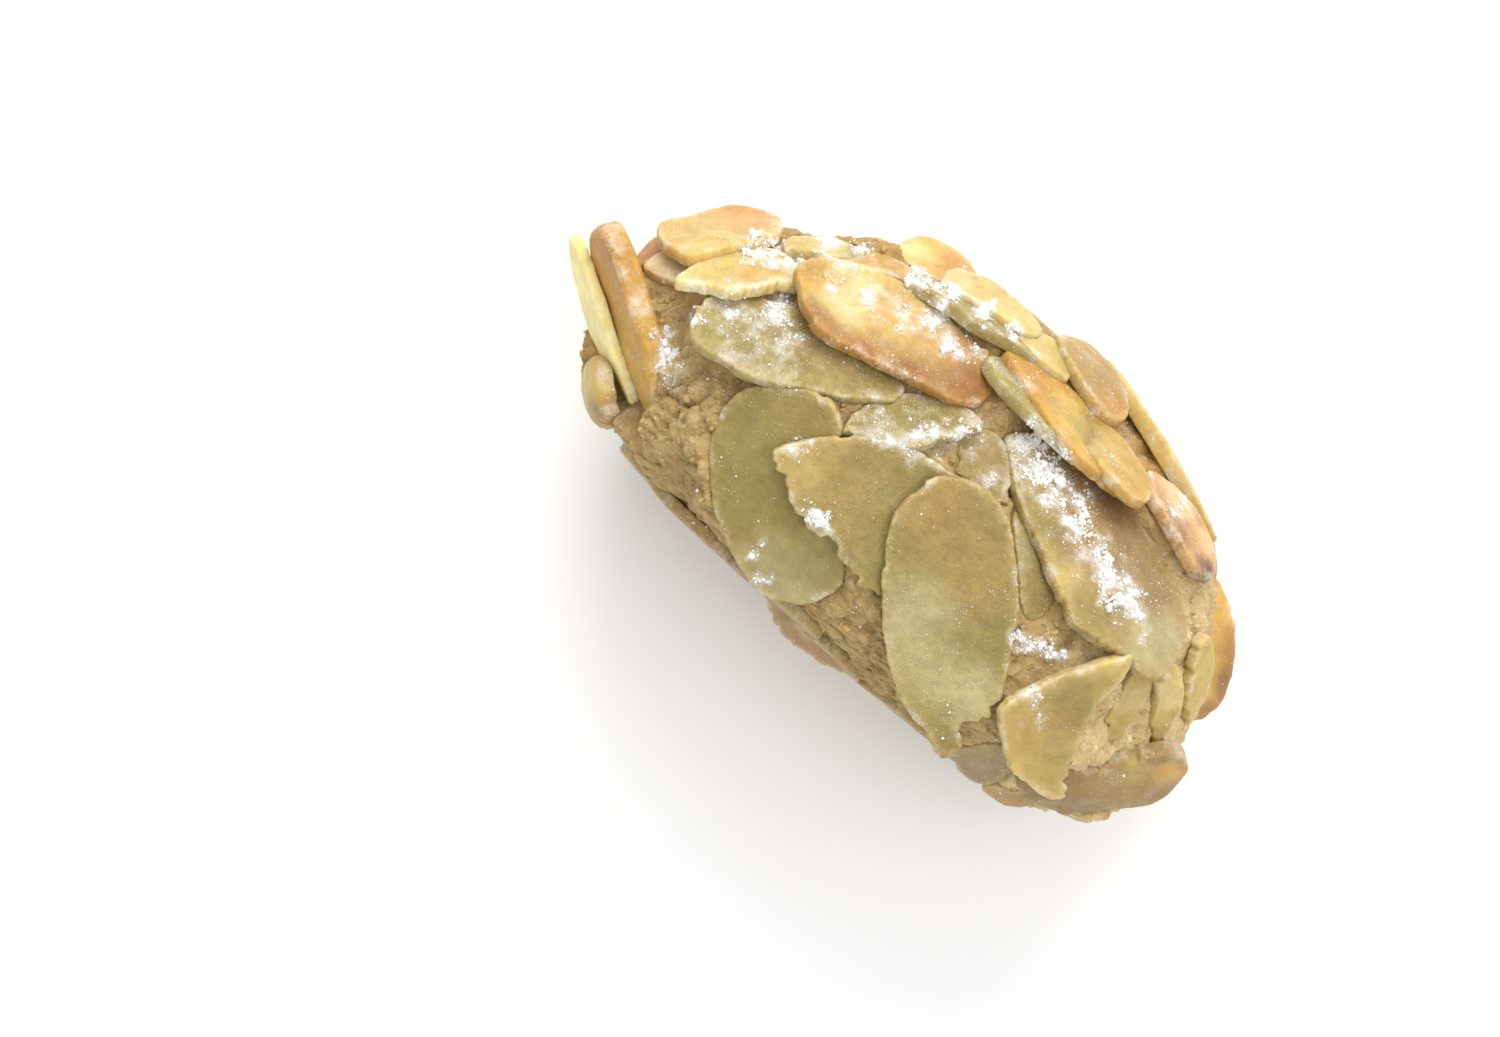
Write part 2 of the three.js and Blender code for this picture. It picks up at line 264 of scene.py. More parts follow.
def makeSugarGroup():
    # Amount is how thickly sugar lies, Speck the grains to a metre, Film how far powder veils.
    group, given, result = newGroup(
        "sugarDust",
        [("Amount", "Float", 0.3), ("Speck", "Float", 5000.0), ("Patch", "Float", 700.0),
         ("Film", "Float", 0.6)],
        [("Mask", "Float"), ("Height", "Float")],
    )
    w = Wires(group)
    place = w.place()
    patch = w.noise(place, given.outputs["Patch"], 4.0, 0.62)
    cover = w.math("MULTIPLY", given.outputs["Amount"], w.range(patch, 0.32, 0.66, 0.05, 1.9))
    # separate grains: a small round spot in some of the cells
    cells = w.node("TexVoronoi", Vector=place, Scale=given.outputs["Speck"])
    lot = w.node("SeparateColor", Color=cells.outputs["Color"])  # a drawn number for each cell
    size = w.range(lot.outputs[1], 0.0, 1.0, 0.1, 0.4)
    spot = w.range(w.math("SUBTRACT", size, cells.outputs["Distance"]), 0.0, 0.1)
    present = w.math("GREATER_THAN", w.math("MULTIPLY", cover, 0.2), lot.outputs[0])
    grains = w.math("MULTIPLY", spot, present)
    # a veil of powder, thickest where most of it fell
    fine = w.noise(place, w.math("MULTIPLY", given.outputs["Speck"], 0.8), 3.0, 0.7)
    veil = w.math("MULTIPLY", w.range(cover, 0.35, 1.9), w.range(fine, 0.3, 0.62, 0.35, 1.25))
    veil = w.math("MULTIPLY", veil, given.outputs["Film"], clamp=True)
    heavy = w.range(w.math("ADD", cover, fine), 1.7, 2.4)
    mask = w.math("MAXIMUM", w.math("MAXIMUM", w.math("MULTIPLY", grains, 0.7), veil), heavy)
    w.feed(result.inputs["Mask"], mask)
    w.feed(result.inputs["Height"], w.math("MAXIMUM", grains, w.math("MULTIPLY", heavy, fine)))
    return group


def makeGrainGroup():
    # Fine unevenness of a baked surface, for its bump and for a slight mottling of its colour.
    group, given, result = newGroup(
        "bakedGrain",
        [("Grain", "Float", 3000.0), ("Mottle", "Float", 500.0), ("Depth", "Float", 0.5)],
        [("Height", "Float"), ("Tint", "Color")],
    )
    w = Wires(group)
    place = w.place()
    fine = w.noise(place, given.outputs["Grain"], 4.0, 0.6)
    broad = w.noise(place, given.outputs["Mottle"], 4.0, 0.55)
    w.feed(result.inputs["Height"], w.math("ADD", fine, w.math("MULTIPLY", broad, 0.8)))
    shade = w.math("MULTIPLY", w.range(broad, 0.3, 0.7, -1.0, 1.0), given.outputs["Depth"])
    tint = w.node("CombineColor")
    for channel, strength in enumerate((1.0, 1.12, 1.35)):  # a dark spot is a browner one
        w.feed(tint.inputs[channel], w.math("ADD", w.math("MULTIPLY", shade, strength), 1.0))
    w.feed(result.inputs["Tint"], tint.outputs[0])
    return group


sugarDust = makeSugarGroup()
bakedGrain = makeGrainGroup()


def newMaterial(name):
    material = bpy.data.materials.new(name)
    material.use_nodes = True
    tree = material.node_tree
    shader = next(node for node in tree.nodes if node.type == "BSDF_PRINCIPLED")
    return material, Wires(tree), shader


def placeGroup(w, group, finish, **values):  # with the values that this finish gives it
    made = w.tree.nodes.new("ShaderNodeGroup")
    made.node_tree = group
    for key in made.inputs.keys():
        w.feed(made.inputs[key], values.get(key, finish.get(key.lower())))
    return made


def finishShader(w, shader, finish, tone, roughness, height):
    w.feed(shader.inputs["Base Color"], tone)
    w.feed(shader.inputs["Roughness"], roughness)
    shader.inputs["Subsurface Weight"].default_value = finish["glow"]
    shader.inputs["Subsurface Radius"].default_value = finish["glowSpread"]
    shader.inputs["Subsurface Scale"].default_value = finish["glowDepth"]
    shader.inputs["Specular IOR Level"].default_value = finish["specular"]
    bump = w.node("Bump", Height=height, Strength=finish["bump"], Distance=finish["bumpDepth"])
    w.feed(shader.inputs["Normal"], bump.outputs[0])


def tinted(w, tone, tint, share=1.0):
    return w.blend(share, tone, tint, "MULTIPLY")


def dulled(w, gloss, sugar):  # sugar is rougher than what it lies on
    return w.math("MAXIMUM", gloss, w.math("MULTIPLY", sugar.outputs["Mask"], 0.9))


sugarWhite = (*linear((250, 248, 243)), 1)

# grain, mottle, speck and patch are in cycles to a metre, glowDepth and bumpDepth in metres
flakeFinish = {
    "grain": 5200.0, "mottle": 900.0, "depth": 0.1, "speck": 5600.0, "patch": 650.0, "film": 0.62,
    "rimShare": 0.5,  # how far the rim takes its own tone
    "pits": 1700.0, "pitDepth": 1.4, "sugarDepth": 1.6, "roughness": (0.34, 0.6),
    "glow": 0.4, "glowSpread": (1.0, 0.72, 0.3), "glowDepth": 0.0012, "specular": 0.4,
    "bump": 0.5, "bumpDepth": 0.00011,
}


def makeFlakeMaterial():
    finish = flakeFinish
    material, w, shader = newMaterial("almondFlake")
    grain = placeGroup(w, bakedGrain, finish)
    sugar = placeGroup(w, sugarDust, finish, Amount=w.attribute("sugar"))
    edge = w.math("MULTIPLY", w.attribute("edge"), w.range(w.noise(w.place(), 2600.0), 0.36, 0.6, 0.25, 1.0))
    tone = tinted(w, w.attribute("tone", "Color"), grain.outputs["Tint"])
    # the rim tone: toasting, and on most flakes a pale edge that is partly a painted glow
    tone = w.blend(w.math("MULTIPLY", edge, finish["rimShare"]), tone, w.attribute("rim", "Color"))
    tone = w.blend(sugar.outputs["Mask"], tone, sugarWhite)
    gloss = w.range(w.noise(w.place(), 1400.0, 4.0, 0.6), 0.3, 0.7, *finish["roughness"])
    pits = w.range(w.noise(w.place(), finish["pits"], 5.0, 0.7), 0.3, 0.5, 0.0, finish["pitDepth"])
    height = w.math("ADD", grain.outputs["Height"], pits)
    height = w.math("ADD", height, w.math("MULTIPLY", sugar.outputs["Height"], finish["sugarDepth"]))
    finishShader(w, shader, finish, tone, dulled(w, gloss, sugar), height)
    return material


pasteFinish = {
    "grain": 2600.0, "mottle": 620.0, "depth": 0.12, "speck": 4600.0, "patch": 900.0, "film": 0.55,
    "meal": 1300.0, "fineMeal": 2900.0,  # ground almond, coarse and fine
    # the first tint darkens the paste between the crumbs of meal, as painted shade
    "paintedShadeBetweenMeal": (0.92, 0.9, 0.86, 1), "onFineMeal": (1.2, 1.2, 1.25, 1),
    "fineMealDepth": 0.8, "sugarDepth": 1.2, "roughness": (0.62, 0.86),
    "glow": 0.3, "glowSpread": (1.0, 0.65, 0.32), "glowDepth": 0.0009, "specular": 0.25,
    "bump": 0.6, "bumpDepth": 0.00016,
}


def makePasteMaterial():
    finish = pasteFinish
    material, w, shader = newMaterial("bakedPaste")
    grain = placeGroup(w, bakedGrain, finish)
    sugar = placeGroup(w, sugarDust, finish, Amount=w.attribute("sugar"))
    meal, fineMeal = (w.crumbs(w.place(), finish[kind]) for kind in ("meal", "fineMeal"))
    tone = tinted(w, w.attribute("tone", "Color"), grain.outputs["Tint"])
    # painted shade: darker between the crumbs of meal
    tone = w.blend(meal, tinted(w, tone, finish["paintedShadeBetweenMeal"]), tone)
    tone = w.blend(w.math("MULTIPLY", fineMeal, 0.4), tone, tinted(w, tone, finish["onFineMeal"]))
    tone = w.blend(sugar.outputs["Mask"], tone, sugarWhite)
    gloss = w.range(w.noise(w.place(), 1500.0), 0.3, 0.7, *finish["roughness"])
    height = w.math("ADD", grain.outputs["Height"],
                    w.math("MULTIPLY", sugar.outputs["Height"], finish["sugarDepth"]))
    mealHeight = w.math("ADD", meal, w.math("MULTIPLY", fineMeal, finish["fineMealDepth"]))
    finishShader(w, shader, finish, tone, dulled(w, gloss, sugar), w.math("ADD", height, mealHeight))
    return material


sugarFinish = {
    "grain": 9000.0, "mottle": 2600.0, "depth": 0.03, "roughness": 0.85,
    "glow": 0.15, "glowSpread": (1.0, 0.95, 0.85), "glowDepth": 0.0003, "specular": 0.5,
    "bump": 0.8, "bumpDepth": 0.0001,
}


def makeSugarMaterial():
    material, w, shader = newMaterial("powderedSugar")
    grain = placeGroup(w, bakedGrain, sugarFinish)
    tone = tinted(w, sugarWhite, grain.outputs["Tint"])
    finishShader(w, shader, sugarFinish, tone, sugarFinish["roughness"], grain.outputs["Height"])
    return material


table = {"half": 0.9, "tones": ((0.93, 0.93, 0.93, 1), (0.95, 0.95, 0.95, 1)), "roughness": 0.6}


def makeFloor():
    material, w, shader = newMaterial("paleTable")
    w.feed(shader.inputs["Base Color"], w.blend(w.noise(w.place(), 14.0), *table["tones"]))
    shader.inputs["Roughness"].default_value = table["roughness"]
    half = table["half"]
    mesh = bpy.data.meshes.new("table")
    corners = [(-half, -half, 0), (half, -half, 0), (half, half, 0), (-half, half, 0)]
    mesh.from_pydata(corners, [], [(0, 1, 2, 3)])
    mesh.materials.append(material)
    floor = bpy.data.objects.new("table", mesh)
    bpy.context.scene.collection.objects.link(floor)


sugarFall = {
    "everywhere": 0.2,
    "from": (-0.3, 0.9, 0.3),  # the side that it was dusted from
    "facing": 0.2,  # how much more lies on what faces that side
    "rims": 0.6,  # and along the rims of the flakes
    # how it breaks up: size, strength, seed
    "uneven": [(3.1, 0.5, 71)], "ragged": [(0.5, 0.45, 74), (1.1, 0.35, 75)], "onRims": [(1.3, 1.0, 77)],
    # drifts on the shown flank: x, y, reach, amount
    "drifts": [
        (4.6, 6.1, 1.8, 2.4), (6.5, 5.4, 2.0, 2.2), (8.8, 4.8, 2.0, 2.6), (10.8, 4.2, 1.9, 2.4),
        (13.2, 3.4, 1.8, 2.1), (15.5, 2.6, 1.7, 2.2), (17.8, 1.7, 1.5, 2.5), (20.5, 0.9, 1.2, 1.3),
        (13.4, -5.5, 1.1, 1.9), (15.2, -4.8, 1.1, 2.1), (16.4, -4.4, 0.9, 2.2),
        (-20.3, -3.6, 1.3, 1.5), (-19.0, -1.7, 1.8, 1.4), (-17.0, -0.5, 1.8, 1.3), (-16.6, 1.2, 1.2, 2.2),
        (-16.5, -2.8, 2.4, 1.0), (-14.6, 0.2, 1.3, 1.9), (-13.2, -2.2, 2.6, 0.8), (-20.7, 3.3, 1.3, 2.4),
        (-19.3, 3.8, 1.4, 2.5), (-18.3, 4.1, 1.0, 2.2),
        (-14.6, 5.6, 1.8, 1.4), (-12.0, 6.0, 1.8, 1.2), (-9.2, 7.0, 1.8, 1.4), (-7.4, 8.0, 1.6, 1.9),
        (-5.0, 7.6, 1.3, 1.7), (-3.6, 8.2, 1.0, 2.3),
        (-3.9, -9.0, 1.0, 2.4), (-8.6, -5.9, 1.2, 1.2), (-3.6, -14.9, 0.7, 2.0), (-5.6, -13.5, 1.0, 1.6),
        (-21.4, -6.5, 0.9, 1.8), (-19.8, -7.4, 0.9, 2.0), (-19.0, -8.2, 1.4, 1.3),
        (-4.6, -1.0, 1.8, 1.2), (-1.7, 0.6, 2.2, 1.3), (0.2, 3.2, 2.2, 1.3), (3.6, 1.5, 0.9, 1.6),
        (16.8, -7.8, 1.0, 1.6), (18.0, -9.0, 0.9, 1.2),
        (-17.2, 7.4, 1.3, 2.2), (-14.6, 8.6, 1.3, 1.8), (-10.3, 10.2, 1.1, 2.6), (-7.5, 10.6, 1.1, 2.6),
        (-4.6, 11.1, 1.1, 2.6), (-2.2, 11.7, 1.0, 2.4), (16.2, 10.4, 1.3, 1.4),
    ],
}


def sugarAmount(points, normals):
    fall = unit(np.array(sugarFall["from"]))
    facing = np.clip(normals @ fall, 0, 1)
    amount = sugarFall["everywhere"] + sugarFall["facing"] * facing ** 1.5
    amount *= 0.75 + layeredNoise(points, sugarFall["uneven"])
    wander = points[:, :2] + 0.8 * noiseWander(points, 0.8, (72, 73))
    ragged = 0.75 + layeredNoise(points, sugarFall["ragged"])
    shown = smooth(-1.0, 3.0, points[:, 2]) * smooth(-0.1, 0.35, normals[:, 2])
    for x, y, reach, most in sugarFall["drifts"]:
        away = np.hypot(wander[:, 0] - x, wander[:, 1] - y) / reach
        amount = np.maximum(amount, most * ragged * shown * (1 - smooth(0.2, 1.4, away)))
    return amount


def sugarOnRims(points, normals, edge):  # caught on the rims that face up
    caught = edge * smooth(-0.2, 0.6, normals[:, 2])
    return sugarFall["rims"] * caught * smooth(-0.5, 0.5, layeredNoise(points, sugarFall["onRims"]))


pasteLog = {
    "backLength": 27, "frontLength": 29,
    "shoulderY": -7, "domeRise": 20.8, "baseDrop": 8.2, "halfDepth": 15.6,
    "domePower": 2.1, "basePower": 3,
    "domeTip": (2.0, 2.6), "baseTip": (3.2, 3.3), "depthTip": (2.3, 2.4),  # back, front
    "lumpHeight": 0.45,
    # rounded crumbs on its skin: size, height, power (a lower one is fuller), seed
    "crumbs": [(3.2, 0.5, 0.6, 30), (1.35, 0.6, 0.5, 32), (0.75, 0.36, 0.6, 36)],
    "crags": [(3.4, 0.2, 40), (1.6, 0.1, 41), (0.5, 0.09, 42)],  # size, height, seed
    "stepsRound": 420, "stepsAlong": 230,
    "tableGap": 0.3,  # the cookie rests on a flake, and the paste stays clear of the table
    "tone": (174, 147, 97),
    # tones that cover it, in this order, and how strongly: a paler front tip as painted light,
    # paler raised lumps as painted light, darker hollows as painted shade, then toasting
    "overTones": {"paintedLitTip": ((226, 202, 154), 0.85), "paintedCrestLight": ((194, 168, 118), 0.7),
                  "paintedCreviceShade": ((124, 96, 60), 0.55), "toast": ((176, 130, 74), 0.5)},
    # lumps that stand higher, and hollows: x, y, z, reach, height
    "rises": [(-15.4, -8.3, 13.2, 2.6, 0.9), (22.4, -3.2, 11.2, 2.8, 0.8), (25.6, -2.4, 8.4, 2.4, 0.8),
              (16.4, -10.6, 11.5, 2.4, 0.6), (23.5, -11.5, 5.6, 2.6, 0.6),
              (-24.5, 5.5, -1.0, 6.5, -1.4), (-20.0, 8.5, -1.0, 6.5, -1.8), (-16.0, 10.5, -1.0, 6.5, -2.5),
              (-12.5, 12.0, -1.0, 5.0, -1.0), (-24.0, -9.0, 4.0, 4.0, -0.8), (-27.3, -10.4, -2.0, 5.0, -1.5),
              (25.5, 4.2, 2.5, 5.5, -1.8)],
}


def sectionAt(t):
    log = pasteLog
    side = (t > 0).astype(int)

    def close(powers):
        power = np.array(powers)[side]
        return (1 - np.minimum(np.abs(t), 1) ** power) ** (1 / power)

    return (log["domeRise"] * close(log["domeTip"]), log["baseDrop"] * close(log["baseTip"]),
            log["halfDepth"] * close(log["depthTip"]))


def logPoint(t, turn):  # t along the log, turn in degrees from the dome, +90 is the shown flank
    log = pasteLog
    rise, drop, depth = sectionAt(t)
    across, out = np.cos(np.radians(turn)), np.sin(np.radians(turn))
    onDome = across > 0
    power = 2 / np.where(onDome, log["domePower"], log["basePower"])
    x = t * np.where(t < 0, log["backLength"], log["frontLength"])
    y = log["shoulderY"] + np.where(onDome, rise, drop) * np.sign(across) * np.abs(across) ** power
    z = depth * np.sign(out) * np.abs(out) ** power
    return np.stack([x, y, z], axis=-1)


def logNormal(t, turn):
    step = 0.01
    along = logPoint(t + step, turn) - logPoint(t - step, turn)
    around = logPoint(t, turn + 1) - logPoint(t, turn - 1)
    return unit(np.cross(around, along))


def underLog(points, outward):  # how far down, against outward, the paste's broad surface is
    log = pasteLog
    low, high = np.full(len(points), -3.0), np.full(len(points), 9.0)
    for _ in range(16):
        depth = (low + high) / 2
        x, y, z = (points - depth[:, None] * outward).T
        t = x / np.where(x < 0, log["backLength"], log["frontLength"])
        rise, drop, half = (np.maximum(size, 1e-6) for size in sectionAt(t))
        onDome = y > log["shoulderY"]
        power = np.where(onDome, log["domePower"], log["basePower"])
        share = np.abs(y - log["shoulderY"]) / np.where(onDome, rise, drop)
        inside = share ** power + (np.abs(z) / half) ** power < 1
        low, high = np.where(inside, low, depth), np.where(inside, depth, high)
    return depth - riseAt(points)


def riseAt(points):  # how much higher or lower than the smooth log the paste stands
    rise = np.zeros(len(points))
    for x, y, z, reach, height in pasteLog["rises"]:
        rise += height * (1 - smooth(0.0, 1.0, np.linalg.norm(points - [x, y, z], axis=1) / reach))
    return rise


def lumps(p):
    x, y, z = p[:, 0], p[:, 1], p[:, 2]
    broad = np.sin(0.31 * x + 0.42 * y + 1.3) * np.sin(0.37 * z + 0.23 * x + 2.1)
    fine = np.sin(0.83 * x - 0.51 * z + 0.4) * np.sin(0.74 * y + 0.66 * z + 1.1)
    return pasteLog["lumpHeight"] * (broad + 0.6 * fine)


flakeTones = {
    "cream": (218, 198, 146), "straw": (200, 174, 102), "olive": (154, 134, 76), "sage": (164, 149, 92),
    "milky": (184, 173, 126), "honey": (194, 152, 74), "amber": (186, 130, 58), "toasted": (156, 104, 54),
    "lemon": (246, 226, 150), "brown": (128, 92, 60), "burnt": (92, 56, 40),
    "gold": (212, 170, 90), "rose": (196, 148, 96), "ochre": (172, 138, 78), "umber": (150, 124, 80),
    # the pale edge tone, the usual rim tone, is partly a painted glow of light through thin edges
    "tan": (166, 138, 94), "paleEdgePaintedGlow": (206, 184, 126), "goldEdge": (200, 154, 76),
}

flakeShape = {
    "thickness": 1.0, "taper": 0.15, "bend": 0.35, "waver": 0.025,
    "edgeRound": 0.2, "grain": 0.08,  # rounding and roughness of its edge
    "faceStep": 1.9,  # gap between points across a face, in gaps round the rim
    "rimStep": 0.21, "hiddenRimStep": 0.3,  # gap between points round an outline
    "jag": 0.5, "nick": 0.22,  # depth of a broken edge's teeth, and of the nicks all round
    # unevenness of the outline and of the faces: size, depth, seed (teeth are in parts of jag)
    "teeth": [(0.8, 0.6, 5), (0.45, 0.6, 6)], "wobble": [(3.0, 0.1, 7), (0.5, 0.045, 8)],
    "warp": [(6.0, 0.2, 11)], "waves": [(2.4, 0.1, 12)], "dimples": [(1.3, 0.05, 13), (0.7, 0.03, 14)],
    "mottle": 0.12, "fineMottle": 0.08,  # unevenness of its tone
}

